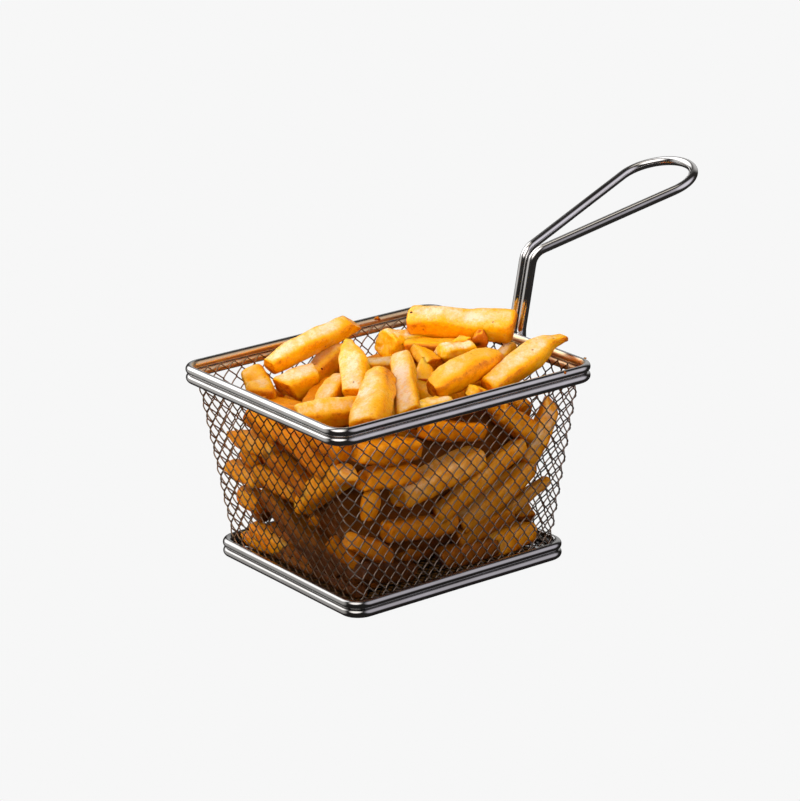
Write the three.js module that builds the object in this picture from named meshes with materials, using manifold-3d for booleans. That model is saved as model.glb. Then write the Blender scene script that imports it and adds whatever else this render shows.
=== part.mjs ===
// A portion of fries in a small wire serving basket: two rim wires, two base wires, a looped
// wire handle, woven mesh walls and floor, and a heap of fries. Millimetres, +Z up, the long
// side of the basket along X, the handle on the +X side, the base wire standing on z = 0.

import * as THREE from 'three';
import Module from 'manifold-3d';

const wasm = await Module();
wasm.setup();

// ---------------------------------------------------------------- driving dimensions

const WIRE = 3.0; // frame wire, across the corners of its eight-sided section
const PIECE_GAP = 0.3; // clearance between touching pieces
const RIM = { length: 105, width: 89.2, corner: 6.3 }; // centreline of the rim wires
const RIM_TOP = 67.3; // centre height of the upper rim wire
const BASE = { length: 87.5, width: 78, corner: 5.5 }; // centreline of the base wires
const RING_ARC_STEPS = 2; // each counts twice on a quarter turn

const HANDLE_WIRE = 3.2;
const LEG_SPACING = 4.4; // between the centrelines of the two legs
const LEG_FOOT = 61.5; // height of the cut ends of the legs
const LEG_KNEE = 69.5; // the legs stand straight up to here, then lean outwards
const LEG_LEAN = 12; // degrees from upright
const SHOULDER = 95.6; // height where the legs turn into the loop
const SHOULDER_RADIUS = 6.2;
const LOOP_RISE = 15.5; // degrees above level
const LOOP_REACH = 58.4; // from the shoulder to the centre of the loop's round end
const LOOP_RADIUS = 14; // centreline of the round end

const MESH_WIRE = { width: 0.8, depth: 0.62 };
const MESH_LAYER_GAP = 0.2; // between the outer and the inner run of mesh wires
const MESH_TOP = { z: 66, halfLength: 49.9, halfWidth: 42.2 };
const MESH_FOOT = { z: 4.5, halfLength: 41.3, halfWidth: 36.6 };
const MESH_CORNER = 3;
const MESH_UPPER_EDGE = 66.2;
const MESH_LOWER_EDGE = 4;
const MESH_DIAMONDS = 69; // round the basket
const MESH_ADVANCE = 11; // diamonds that a wire passes on its way down
const FLOOR_LEVEL = 2.4;
const FLOOR_CELLS = { x: 31, y: 27 }; // half diamonds, with no common factor
const FLOOR_HALF = { x: 40.6, y: 36 };

const FRY_CLEARANCE = 1.1; // from the middle of the mesh wall to the fries
const FRY_SIDES = 8;
const FRY_SQUARENESS = 0.62; // 1 is an ellipse, 0 a sharp-edged bar
// Share of the length and scale of the section there.
const STRAIGHT_FRY = [[0, 0.66], [0.1, 1], [0.9, 0.98], [1, 0.62]];
const ARCHED_FRY = [[0, 0.66], [0.1, 1], [0.5, 1.02], [0.9, 0.98], [1, 0.62]];
const BLUNT_FRY = [[0, 0.92], [1, 0.96]];

// ---------------------------------------------------------------- materials

const polishedSteel = new THREE.MeshStandardMaterial({ color: 0xc4c4c8, metalness: 1, roughness: 0.12 });
const meshSteel = new THREE.MeshStandardMaterial({ color: 0x8a8078, metalness: 1, roughness: 0.3 });
const friedPotato = new THREE.MeshStandardMaterial({ color: 0xf0ab35, metalness: 0, roughness: 0.5 });

// ---------------------------------------------------------------- small helpers

const radians = THREE.MathUtils.degToRad;
const vector = (x, y, z) => new THREE.Vector3(x, y, z);

// Joins rings of equal size into a closed tube; caps are fans unless the tube closes on itself.
function tube(rings, closed = false) {
  const size = rings[0].length;
  const positions = rings.flat().flatMap((p) => [p.x, p.y, p.z]);
  const faces = [];
  const links = closed ? rings.length : rings.length - 1;
  for (let i = 0; i < links; i += 1) {
    const a = i * size;
    const b = ((i + 1) % rings.length) * size;
    for (let j = 0; j < size; j += 1) {
      const k = (j + 1) % size;
      faces.push(a + j, a + k, b + j, a + k, b + k, b + j);
    }
  }
  if (!closed) {
    const last = (rings.length - 1) * size;
    for (let j = 1; j < size - 1; j += 1) {
      faces.push(0, j + 1, j, last, last + j, last + j + 1);
    }
  }
  const geometry = new THREE.BufferGeometry();
  geometry.setAttribute('position', new THREE.Float32BufferAttribute(positions, 3));
  geometry.setIndex(faces);
  return geometry;
}

// ---------------------------------------------------------------- rim and base wires

function roundedRectangle(plan, offset, Kind) {
  const halfLength = plan.length / 2 + offset;
  const halfWidth = plan.width / 2 + offset;
  const corner = plan.corner + offset;
  const path = new Kind();
  for (const [sx, sy, start] of [[1, 1, 0], [-1, 1, 90], [-1, -1, 180], [1, -1, 270]]) {
    const centreX = sx * (halfLength - corner);
    const centreY = sy * (halfWidth - corner);
    path.absarc(centreX, centreY, corner, radians(start), radians(start + 90), false);
  }
  path.closePath();
  return path;
}

// An eight-sided wire bent into a rounded rectangle, lying level with its centre at the height z.
function wireRing(name, plan, z) {
  const flat = WIRE * Math.sin(Math.PI / 8);
  const bevel = flat / Math.SQRT2;
  const shape = roundedRectangle(plan, flat / 2, THREE.Shape);
  shape.holes.push(roundedRectangle(plan, -flat / 2, THREE.Path));
  const geometry = new THREE.ExtrudeGeometry(shape, {
    depth: flat,
    bevelEnabled: true,
    bevelThickness: bevel,
    bevelSize: bevel,
    bevelSegments: 1,
    curveSegments: RING_ARC_STEPS,
  });
  const ring = new THREE.Mesh(geometry, polishedSteel);
  ring.name = name;
  ring.position.z = z - flat / 2;
  return ring;
}

// ---------------------------------------------------------------- handle

// A curve through stations that are spaced as the bends need them.
class StationCurve extends THREE.Curve {
  constructor(stations) {
    super();
    this.stations = stations;
  }

  getPointAt(u) {
    return this.stations[Math.round(u * (this.stations.length - 1))].clone();
  }

  getTangentAt(u) {
    const i = Math.round(u * (this.stations.length - 1));
    const before = this.stations[Math.max(i - 1, 0)];
    const after = this.stations[Math.min(i + 1, this.stations.length - 1)];
    const here = this.stations[i];
    const into = here.clone().sub(before).normalize();
    const out = after.clone().sub(here).normalize();
    return into.add(out).normalize();
  }
}

// The points of a round bend of the given radius at a corner of a path.
function bendPoints(before, corner, after, radius, steps) {
  const back = before.clone().sub(corner).normalize();
  const forward = after.clone().sub(corner).normalize();
  const half = back.angleTo(forward) / 2;
  const middle = back.clone().add(forward).normalize();
  const centre = corner.clone().addScaledVector(middle, radius / Math.sin(half));
  const first = corner.clone().addScaledVector(back, radius / Math.tan(half)).sub(centre);
  const last = corner.clone().addScaledVector(forward, radius / Math.tan(half)).sub(centre);
  const sweep = first.angleTo(last);
  const points = [];
  for (let i = 0; i <= steps; i += 1) {
    const turn = (sweep * i) / steps;
    const point = first.clone().multiplyScalar(Math.sin(sweep - turn));
    point.addScaledVector(last, Math.sin(turn)).divideScalar(Math.sin(sweep));
    points.push(point.add(centre));
  }
  return points;
}

const legX = RIM.length / 2 + WIRE / 2 + PIECE_GAP + HANDLE_WIRE / 2;
const shoulder = vector(legX + (SHOULDER - LEG_KNEE) * Math.tan(radians(LEG_LEAN)), 0, SHOULDER);
const loopAxis = vector(Math.cos(radians(LOOP_RISE)), 0, Math.sin(radians(LOOP_RISE)));
const handleTipX = shoulder.x + (LOOP_REACH + LOOP_RADIUS) * loopAxis.x + HANDLE_WIRE / 2;

function handlePath() {
  const halfGap = LEG_SPACING / 2;
  const onLoop = (along, across) => {
    const point = shoulder.clone().addScaledVector(loopAxis, along);
    point.y = across;
    return point;
  };
  const spread = Math.asin((LOOP_RADIUS - halfGap) / LOOP_REACH);
  const side = (sign) => {
    const foot = vector(legX, sign * halfGap, LEG_FOOT);
    const knee = vector(legX, sign * halfGap, LEG_KNEE);
    const turn = onLoop(0, sign * halfGap);
    const tangentAlong = LOOP_REACH - LOOP_RADIUS * Math.sin(spread);
    const tangent = onLoop(tangentAlong, sign * LOOP_RADIUS * Math.cos(spread));
    return [foot, knee, ...bendPoints(knee, turn, tangent, SHOULDER_RADIUS, 4)];
  };
  const roundEnd = [];
  const endSteps = 12;
  for (let i = 0; i <= endSteps; i += 1) {
    const angle = (Math.PI / 2 + spread) * (1 - (2 * i) / endSteps);
    const along = LOOP_REACH + LOOP_RADIUS * Math.cos(angle);
    roundEnd.push(onLoop(along, LOOP_RADIUS * Math.sin(angle)));
  }
  return [...side(1), ...roundEnd, ...side(-1).reverse()];
}

function handle() {
  const section = new THREE.Shape();
  for (let i = 0; i < 8; i += 1) {
    const angle = radians(22.5 + 45 * i);
    section[i ? 'lineTo' : 'moveTo'](
      (HANDLE_WIRE / 2) * Math.cos(angle),
      (HANDLE_WIRE / 2) * Math.sin(angle),
    );
  }
  const stations = handlePath();
  const geometry = new THREE.ExtrudeGeometry(section, {
    steps: stations.length - 1,
    bevelEnabled: false,
    extrudePath: new StationCurve(stations),
  });
  const mesh = new THREE.Mesh(geometry, polishedSteel);
  mesh.name = 'handle';
  return mesh;
}

// ---------------------------------------------------------------- woven mesh

function wallHalfSizes(z) {
  const t = (z - MESH_FOOT.z) / (MESH_TOP.z - MESH_FOOT.z);
  return {
    x: MESH_FOOT.halfLength + t * (MESH_TOP.halfLength - MESH_FOOT.halfLength),
    y: MESH_FOOT.halfWidth + t * (MESH_TOP.halfWidth - MESH_FOOT.halfWidth),
  };
}

// The plan of the wall at a height: a rectangle whose corners are cut in two.
function wallPolygon(z, offset) {
  const half = wallHalfSizes(z);
  const points = [];
  for (const [sx, sy, start] of [[1, 1, 0], [-1, 1, 90], [-1, -1, 180], [1, -1, 270]]) {
    for (const turn of [0, 45, 90]) {
      const angle = radians(start + turn);
      const reach = MESH_CORNER + offset;
      points.push(vector(
        sx * (half.x - MESH_CORNER) + reach * Math.cos(angle),
        sy * (half.y - MESH_CORNER) + reach * Math.sin(angle),
        z,
      ));
    }
  }
  return points;
}

// How far round the wall each corner of the plan lies, in diamonds, at mid height.
const planMarks = (() => {
  const polygon = wallPolygon((MESH_TOP.z + MESH_FOOT.z) / 2, 0);
  const marks = [0];
  polygon.forEach((point, i) => {
    marks.push(marks[i] + point.distanceTo(polygon[(i + 1) % polygon.length]));
  });
  return marks.map((mark) => (mark * MESH_DIAMONDS) / marks[marks.length - 1]);
})();

function wallPoint(around, z, offset) {
  const wrapped = ((around % MESH_DIAMONDS) + MESH_DIAMONDS) % MESH_DIAMONDS;
  const polygon = wallPolygon(z, offset);
  let i = 0;
  while (i < polygon.length - 1 && planMarks[i + 1] <= wrapped) i += 1;
  const t = (wrapped - planMarks[i]) / (planMarks[i + 1] - planMarks[i]);
  return polygon[i].clone().lerp(polygon[(i + 1) % polygon.length], t);
}

// Three-sided sections along a wire, each with its ridge turned along `outward`.
function wireRings(stations) {
  return stations.map(({ point, outward, along }) => {
    const across = outward.clone().cross(along).normalize();
    const edge = (side) => point.clone()
      .addScaledVector(across, (side * MESH_WIRE.width) / 2)
      .addScaledVector(outward, -MESH_WIRE.depth / 2);
    return [edge(-1), edge(1), point.clone().addScaledVector(outward, MESH_WIRE.depth / 2)];
  });
}

// One endless wire that runs down and up the wall, outside on the way down and inside on the
// way up, and so makes both runs of the weave.
function meshWalls() {
  const layer = (MESH_WIRE.depth + MESH_LAYER_GAP) / 2;
  const turnRoom = 0.12; // in diamonds, either side of each turn
  const stations = [];
  const addStation = (around, height, offset, slope) => {
    const step = 0.05;
    const point = wallPoint(around, height, offset);
    const level = wallPoint(around + step, height, offset)
      .sub(wallPoint(around - step, height, offset)).normalize();
    const outward = vector(level.y, -level.x, 0);
    const along = level.clone().add(vector(0, 0, slope)).normalize();
    stations.push({ point, outward, along });
  };
  const run = (start, top, bottom, offset) => {
    const slope = bottom > top ? 1 : -1;
    addStation(start + turnRoom, top, offset, 0);
    for (let lap = -1; lap <= 1 + (start + MESH_ADVANCE) / MESH_DIAMONDS; lap += 1) {
      for (const mark of planMarks.slice(0, -1)) {
        const around = mark + lap * MESH_DIAMONDS;
        const share = (around - start) / MESH_ADVANCE;
        if (share > 2 * turnRoom / MESH_ADVANCE && share < 1 - 2 * turnRoom / MESH_ADVANCE) {
          addStation(around, top + (bottom - top) * share, offset, slope);
        }
      }
    }
    addStation(start + MESH_ADVANCE - turnRoom, bottom, offset, 0);
  };
  for (let i = 0; i < MESH_DIAMONDS; i += 1) {
    const start = (2 * MESH_ADVANCE * i) % MESH_DIAMONDS;
    run(start, MESH_UPPER_EDGE, MESH_LOWER_EDGE, layer);
    run(start + MESH_ADVANCE, MESH_LOWER_EDGE, MESH_UPPER_EDGE, -layer);
  }
  const mesh = new THREE.Mesh(tube(wireRings(stations), true), meshSteel);
  mesh.name = 'mesh_walls';
  return mesh;
}

// One wire that is turned back at every edge until it has crossed the whole floor.
function meshFloor() {
  const layer = (MESH_WIRE.depth + MESH_LAYER_GAP) / 2;
  const cellX = (2 * FLOOR_HALF.x) / FLOOR_CELLS.x;
  const cellY = (2 * FLOOR_HALF.y) / FLOOR_CELLS.y;
  const turnRoom = 0.25;
  const up = vector(0, 0, 1);
  const stations = [];
  let x = 0;
  let y = 0;
  let dirX = 1;
  let dirY = 1;
  const addStation = (shiftX, shiftY, height, alongX, alongY) => {
    const point = vector(
      (x + shiftX) * cellX - FLOOR_HALF.x,
      (y + shiftY) * cellY - FLOOR_HALF.y,
      FLOOR_LEVEL + height,
    );
    stations.push({ point, outward: up, along: vector(alongX, alongY, 0) });
  };
  addStation(0, 0, layer, 1, 1);
  for (;;) {
    const toX = dirX > 0 ? FLOOR_CELLS.x - x : x;
    const toY = dirY > 0 ? FLOOR_CELLS.y - y : y;
    const move = Math.min(toX, toY);
    x += dirX * move;
    y += dirY * move;
    const height = dirX * dirY * layer;
    if (toX === toY) {
      addStation(0, 0, height, dirX, dirY);
      break;
    }
    const alongX = toY < toX ? dirX : 0;
    const alongY = toX < toY ? dirY : 0;
    addStation(-alongX * turnRoom, -alongY * turnRoom, height, alongX, alongY);
    addStation(alongX * turnRoom, alongY * turnRoom, -height, alongX, alongY);
    if (toX < toY) dirX = -dirX;
    else dirY = -dirY;
  }
  const mesh = new THREE.Mesh(tube(wireRings(stations)), meshSteel);
  mesh.name = 'mesh_floor';
  return mesh;
}

// ---------------------------------------------------------------- fries

// Each row: one end, the other end, width, thickness, roll in degrees, rise of the middle.
const TOP_FRIES = [
  [[-27, 31, 65.3], [9.5, 32, 72.8], 9, 8.5, 20, 1],
  [[-30, 35, 63], [-35, 19, 58], 9, 8, 10, 0],
  [[-8, 26.8, 62.2], [-26, 16, 63.3], 12.5, 8, 0, 0],
  [[-3, 27, 61], [-20, 24, 57], 7, 7, 0, 0],
  [[-14, 11, 63], [-27, 4, 57], 7, 7, 0, 0],
  [[-4.2, 17.8, 73], [-18.4, -1.8, 62], 9, 7, 0, 0],
  [[-11, -11, 70], [-33, -31, 61], 10.5, 9, 0, 1],
  [[-42, -4, 60], [-16, -13, 60], 8, 8, 40, 0],
  [[1, -5, 73], [-14, -31, 61], 8, 7.5, 0, 0],
  [[-7, 10, 66], [8, -3, 66], 6, 6, 0, 0],
  [[8, 19, 70.5], [29, 13, 68.5], 9, 8, 0, 0],
  [[22.5, 17.2, 75], [47, -9.6, 74.6], 10, 9.5, 30, 0],
  [[18, 13, 66.5], [34.5, -3, 66.5], 8, 9, 0, 0],
  [[17, 8, 70.5], [15, -7, 67], 8, 5, 0, 0],
  [[12, -3.5, 67], [6, -14, 62], 7, 5, 0, 0],
  [[0, -24, 65], [31.5, -20.3, 69.4], 10, 9, 20, 1],
  [[18, -4, 69], [30, -9, 69.5], 6, 6, 0, 0],
  [[27, -1, 69.5], [30, -6, 71], 5, 5, 0, 0],
  [[36.5, -3, 66], [34.8, -6, 73.6], 5, 4.5, 0, 0],
  [[19, -30, 62.5], [44, -28, 72.2], 10, 9, 10, 1],
  [[40, -28, 70.5], [53.5, -28.5, 73.4], 5, 4.5, 0, 0],
  [[22, -27, 59.5], [37, -22, 60], 8, 8, 0, 0],
  [[30, -14, 60], [48, -9, 68], 5.5, 5, 0, 0],
  [[10, -32, 65], [24, -33, 55], 6, 6, 0, 0],
  [[-11, -30, 62], [3, -33, 62], 6.5, 6, 0, 0],
  [[3, -10, 62], [4, -28, 58], 8, 8, 0, 0],
  [[-5, -9, 64], [-20, -28, 57], 7, 7, 0, 0],
];
// Behind the short wall on the -X side.
const SHORT_WALL_FRIES = [
  [[-42, 34, 43.6], [-40, 6, 45], 6.5, 6.5, 0, 0],
  [[-43, 21, 55.4], [-41, 4, 50], 7, 7, 0, 0],
  [[-40.4, 38, 31.8], [-40, 18, 30.5], 5.5, 5.5, 0, 0],
  [[-41, 25, 41], [-39, 18, 36], 7, 7, 0, 0],
  [[-39, 37, 21.5], [-38, 22, 17.5], 8, 7, 0, 0],
  [[-38, 29, 9.5], [-37.5, 8, 8.5], 7, 6.5, 0, 0],
  [[-37, 36, 6.5], [-36, 18, 6], 6, 5, 0, 0],
  [[-40, -4, 28.5], [-42.9, -34.5, 49.5], 8.5, 8.5, 0, 1],
  [[-39.5, 19, 27], [-36, -21, 6.5], 9, 8, 0, 0],
  [[-38, 8, 22], [-35, -31, 8], 6.5, 6, 0, 0],
  [[-35, 19, 13], [-34, -14, 6.5], 6.5, 6, 0, 0],
  [[-40.5, 19, 35], [-40, -3, 32], 7, 6.5, 0, 0],
  [[-42, 0, 54], [-41, -24, 46], 8, 7, 0, 0],
  [[-41, 11, 43], [-39, -11, 35], 8, 7, 0, 0],
  [[-43, -15, 57], [-42, -34, 56], 7, 7, 0, 0],
];
// Behind the long wall on the -Y side.
const LONG_WALL_FRIES = [
  [[-38, -35, 55], [-13, -34, 51], 8.5, 8, 0, 0],
  [[-36, -34, 45], [-14, -33, 43], 8, 7, 0, 0],
  [[-21, -33, 35], [12, -33, 42], 11, 9, 0, 1],
  [[-5, -32, 24], [30, -33, 42], 8, 7, 0, 0],
  [[5, -32, 19], [34, -33, 33], 8, 7, 0, 0],
  [[19, -35, 57], [38, -32, 42], 9, 8, 0, 0],
  [[45, -36, 54], [33, -32, 34], 8.5, 7, 0, 0],
  [[43, -34, 27], [19, -31, 15], 4.5, 4, 0, 0],
  [[15, -32, 8], [39, -32, 9], 9.5, 9, 0, 0],
  [[-4, -32, 9], [21, -32, 8], 8, 7.5, 0, 0],
  [[-26, -32, 24], [3, -32, 20], 9.5, 8, 0, 0],
  [[-36, -31, 13], [-15, -32, 6.5], 8, 8, 0, 0],
  [[-31, -32, 40], [-32, -31, 30], 6, 6, 0, 0],
  [[-39, -30, 24], [-24, -31, 15], 7, 7, 0, 0],
  [[-12, -35, 57], [12, -34, 51], 8, 7, 0, 0],
  [[3, -31, 14], [26, -31, 18], 8, 7, 0, 0],
];
// Against the long wall on the +Y side.
const BACK_WALL_FRIES = [
  [[-30, 40, 53], [3, 40, 47], 8, 7.5, 0, 0],
  [[0, 40, 55], [31, 40, 52], 8, 7, 0, 0],
  [[26, 40, 41], [44, 40, 52], 8.5, 8, 0, 0],
  [[-35, 40, 38], [-11, 40, 45], 8, 8, 0, 0],
  [[-15, 40, 33], [24, 40, 45], 9, 8, 0, 0],
  [[13, 40, 35], [42, 40, 32], 8.5, 8, 0, 0],
  [[-36, 40, 30], [-16, 40, 24], 8, 7.5, 0, 0],
  [[-12, 40, 18], [19, 40, 31], 9, 8, 0, 0],
  [[18, 40, 17], [41, 40, 25], 8, 8, 0, 0],
  [[-34, 40, 13], [-14, 40, 19], 8, 7.5, 0, 0],
  [[-12, 40, 9], [22, 40, 15], 8, 8, 0, 0],
  [[21, 40, 11], [39, 40, 7], 7.5, 7.5, 0, 0],
];
// Against the short wall on the +X side, beside the handle.
const HANDLE_WALL_FRIES = [
  [[46, -22, 48], [46, 6, 54], 8, 7.5, 0, 0],
  [[46, 0, 44], [46, 33, 54], 8.5, 8, 0, 0],
  [[46, 34, 45], [46, 12, 34], 8, 8, 0, 0],
  [[46, -27, 37], [46, 2, 41], 8.5, 8, 0, 0],
  [[46, -6, 34], [46, 20, 28], 8, 7.5, 0, 0],
  [[46, 35, 34], [46, 21, 20], 8, 7.5, 0, 0],
  [[46, -28, 30], [46, -5, 24], 8, 8, 0, 0],
  [[46, -9, 18], [46, 17, 22], 8, 7.5, 0, 0],
  [[46, -28, 12], [46, -10, 19], 8, 8, 0, 0],
  [[46, -6, 9], [46, 29, 14], 8.5, 8, 0, 0],
];
// On top, between the fries above and the two far walls.
const FAR_FRIES = [
  [[13, 34, 55], [44, 27, 58], 8, 7, 0, 0],
  [[42, 20, 58], [43, -8, 61], 7.5, 7, 0, 0],
  [[34, 24, 60], [12, 27, 58], 7, 6, 0, 0],
  [[-8, 26, 53], [15, 32, 50], 8, 7, 0, 0],
  [[-6, 13, 60], [20, 22, 58], 8, 7, 0, 0],
  [[30, 12, 57], [45, 8, 54], 8, 7, 0, 0],
  [[2, 2, 61], [18, 14, 61], 8, 7, 0, 0],
  [[-26, 20, 55], [-8, 30, 51], 8, 7, 0, 0],
  [[22, 20, 59], [40, 4, 60], 7.5, 7, 0, 0],
  [[-34, 27, 54], [-30, 4, 56], 8, 8, 0, 0],
  [[-28, 6, 57], [-8, 20, 57], 8, 8, 0, 0],
  [[-24, -8, 57], [-6, 4, 60], 8, 7, 0, 0],
  [[18, -14, 58], [40, -12, 58], 8, 8, 0, 0],
  [[-4, 20, 58], [4, 2, 62], 7, 7, 0, 0],
];
const SIMPLIFY = 0.12; // edges shorter than this are dropped from the joined heap

// Moves a point inwards until a fry of the given radius clears the walls and the floor.
function keepInside(point, radius) {
  const floor = FLOOR_LEVEL + MESH_WIRE.depth + MESH_LAYER_GAP + PIECE_GAP;
  point.z = Math.max(point.z, floor + radius);
  const rimTop = RIM_TOP + WIRE / 2;
  if (point.z - radius > rimTop) return point;
  const half = wallHalfSizes(Math.max(point.z - radius, MESH_FOOT.z));
  const corner = Math.max(MESH_CORNER - FRY_CLEARANCE, radius + 0.01);
  const limitX = half.x - FRY_CLEARANCE - corner;
  const limitY = half.y - FRY_CLEARANCE - corner;
  const beyond = new THREE.Vector2(
    Math.max(Math.abs(point.x) - limitX, 0),
    Math.max(Math.abs(point.y) - limitY, 0),
  );
  const spare = corner - radius;
  if (beyond.length() > spare) beyond.setLength(spare);
  if (Math.abs(point.x) > limitX) point.x = Math.sign(point.x) * (limitX + beyond.x);
  if (Math.abs(point.y) > limitY) point.y = Math.sign(point.y) * (limitY + beyond.y);
  return point;
}

function fry([from, to, width, thickness, roll, rise], blunt) {
  const radius = Math.max(width, thickness) / 2;
  const narrowing = rise ? ARCHED_FRY : STRAIGHT_FRY;
  return {
    stations: blunt ? BLUNT_FRY : narrowing,
    from: keepInside(vector(...from), radius),
    to: keepInside(vector(...to), radius),
    width,
    thickness,
    roll,
    rise,
  };
}

// A straight or slightly arched bar with rounded edges and narrowed ends.
function fryGeometry({ from, to, width, thickness, roll, rise, stations }) {
  const axis = to.clone().sub(from).normalize();
  const side = vector(0, 0, 1).cross(axis).normalize();
  const above = axis.clone().cross(side);
  const turned = side.clone().applyAxisAngle(axis, radians(roll));
  const normal = above.clone().applyAxisAngle(axis, radians(roll));
  const rings = stations.map(([share, scale]) => {
    const centre = from.clone().lerp(to, share);
    centre.addScaledVector(above, 4 * rise * share * (1 - share));
    const ring = [];
    for (let i = 0; i < FRY_SIDES; i += 1) {
      const angle = radians((360 / FRY_SIDES) * (i + 0.5));
      const [c, s] = [Math.cos(angle), Math.sin(angle)];
      const u = Math.sign(c) * Math.abs(c) ** FRY_SQUARENESS * (width / 2) * scale;
      const v = Math.sign(s) * Math.abs(s) ** FRY_SQUARENESS * (thickness / 2) * scale;
      ring.push(centre.clone().addScaledVector(turned, u).addScaledVector(normal, v));
    }
    return ring;
  });
  return tube(rings);
}

// The hidden middle of the heap: a tapered block that rises to a crown and falls towards +Y.
const CORE = {
  inset: 6.7,
  low: 6,
  high: 58,
  crown: 5,
  fall: 8,
  cornerSqueeze: 0.12,
  steps: [4, 4, 3],
};

function coreGeometry() {
  const block = new THREE.BoxGeometry(2, 2, 1, ...CORE.steps).toNonIndexed();
  block.deleteAttribute('normal');
  block.deleteAttribute('uv');
  const position = block.getAttribute('position');
  for (let i = 0; i < position.count; i += 1) {
    const [u, v, w] = [position.getX(i), position.getY(i), position.getZ(i) + 0.5];
    const crown = CORE.crown * (1 - u * u) * (1 - v * v);
    const fall = CORE.fall * Math.max(v, 0);
    const z = CORE.low + w * (CORE.high - CORE.low + crown - fall);
    const half = wallHalfSizes(z);
    const squeeze = 1 - CORE.cornerSqueeze * u * u * v * v;
    position.setXYZ(
      i,
      u * (half.x - CORE.inset) * squeeze,
      v * (half.y - CORE.inset) * squeeze,
      z,
    );
  }
  return block;
}

// Turns a closed geometry into a solid for joining.
function solid(geometry) {
  const corners = new Map();
  const vertProperties = [];
  const triVerts = [];
  const position = geometry.getAttribute('position');
  const count = geometry.index ? geometry.index.count : position.count;
  for (let i = 0; i < count; i += 1) {
    const at = geometry.index ? geometry.index.getX(i) : i;
    const point = [position.getX(at), position.getY(at), position.getZ(at)];
    const key = point.map((value) => value.toFixed(4)).join();
    if (!corners.has(key)) {
      corners.set(key, corners.size);
      vertProperties.push(...point);
    }
    triVerts.push(corners.get(key));
  }
  return new wasm.Manifold(new wasm.Mesh({
    numProp: 3,
    vertProperties: new Float32Array(vertProperties),
    triVerts: new Uint32Array(triVerts),
  }));
}

// The largest body of a solid, without the loose scraps that joining can leave.
function mainBody(joined) {
  return joined.decompose().reduce((best, body) => (body.volume() > best.volume() ? body : best));
}

function fryHeap() {
  const crown = TOP_FRIES.map((row) => fry(row, false));
  const rest = [
    ...FAR_FRIES,
    ...SHORT_WALL_FRIES,
    ...LONG_WALL_FRIES,
    ...BACK_WALL_FRIES,
    ...HANDLE_WALL_FRIES,
  ].map((row) => fry(row, true));
  const heap = mainBody(wasm.Manifold.union([
    solid(coreGeometry()),
    ...[...crown, ...rest].map((one) => solid(fryGeometry(one))),
  ]).simplify(SIMPLIFY));
  const { vertProperties, triVerts, numProp } = heap.getMesh();
  const positions = [];
  for (let i = 0; i < vertProperties.length; i += numProp) {
    positions.push(...vertProperties.slice(i, i + 3));
  }
  const geometry = new THREE.BufferGeometry();
  geometry.setAttribute('position', new THREE.Float32BufferAttribute(positions, 3));
  geometry.setIndex(new THREE.Uint32BufferAttribute(triVerts, 1));
  const mesh = new THREE.Mesh(geometry, friedPotato);
  mesh.name = 'fries';
  return mesh;
}

// ---------------------------------------------------------------- the whole

const apothem = (WIRE / 2) * Math.cos(Math.PI / 8);
const wirePitch = 2 * apothem + PIECE_GAP;

const basket = new THREE.Group();
basket.add(
  wireRing('rim_wire_upper', RIM, RIM_TOP),
  wireRing('rim_wire_lower', RIM, RIM_TOP - wirePitch),
  wireRing('base_wire_upper', BASE, apothem + wirePitch),
  wireRing('base_wire_lower', BASE, apothem),
  handle(),
  meshWalls(),
  meshFloor(),
  fryHeap(),
);

// The origin is under the middle of the whole, handle included.
const rimOuterX = RIM.length / 2 + apothem;
basket.position.x = -(handleTipX - rimOuterX) / 2;

export default basket;
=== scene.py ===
"""A portion of fries in a small wire serving basket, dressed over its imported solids."""

import math

import bpy
import numpy as np
from mathutils import Matrix, Vector


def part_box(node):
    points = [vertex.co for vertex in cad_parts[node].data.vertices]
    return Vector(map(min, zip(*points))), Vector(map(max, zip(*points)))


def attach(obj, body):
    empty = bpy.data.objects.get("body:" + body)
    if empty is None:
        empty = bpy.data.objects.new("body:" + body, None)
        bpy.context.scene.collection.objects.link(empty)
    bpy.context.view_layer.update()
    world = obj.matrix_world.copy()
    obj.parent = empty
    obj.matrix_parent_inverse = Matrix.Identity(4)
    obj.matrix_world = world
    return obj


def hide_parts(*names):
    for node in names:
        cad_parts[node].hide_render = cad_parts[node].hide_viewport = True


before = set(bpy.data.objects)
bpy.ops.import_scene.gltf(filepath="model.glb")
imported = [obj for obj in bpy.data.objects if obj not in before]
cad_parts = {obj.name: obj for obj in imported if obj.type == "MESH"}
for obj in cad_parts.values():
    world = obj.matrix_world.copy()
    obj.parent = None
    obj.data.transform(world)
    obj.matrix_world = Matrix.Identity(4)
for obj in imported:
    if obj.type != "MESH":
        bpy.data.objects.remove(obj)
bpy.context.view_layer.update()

MM = 0.001
rim_low, rim_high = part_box("rim_wire_upper")
CENTRE_X = (rim_low[0] + rim_high[0]) / 2  # the middle of the basket, in metres
BODY = "root"
TAU = 2 * math.pi
CORNERS = ((1, 1, 0), (-1, 1, 90), (-1, -1, 180), (1, -1, 270))  # signs and first angle

# ---------------------------------------------------------------- sizes, in mm

FRAME_RADIUS = 1.5
RIM = (105.0, 89.2, 6.3)
BASE = (87.5, 78.0, 5.5)
RIM_LEVELS = (67.33, 64.25)
BASE_LEVELS = (4.56, 1.5)

HANDLE_RADIUS = 1.6
LEG_X = 55.7
LEG_HALF_GAP = 2.2
LEG_FOOT, LEG_KNEE, LEG_LEAN = 61.5, 69.5, 12.0
KNEE_BEND = 9.0
SHOULDER, SHOULDER_BEND = 95.6, 6.2
LOOP_RISE, LOOP_REACH, LOOP_RADIUS = 15.5, 58.4, 14.0

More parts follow.
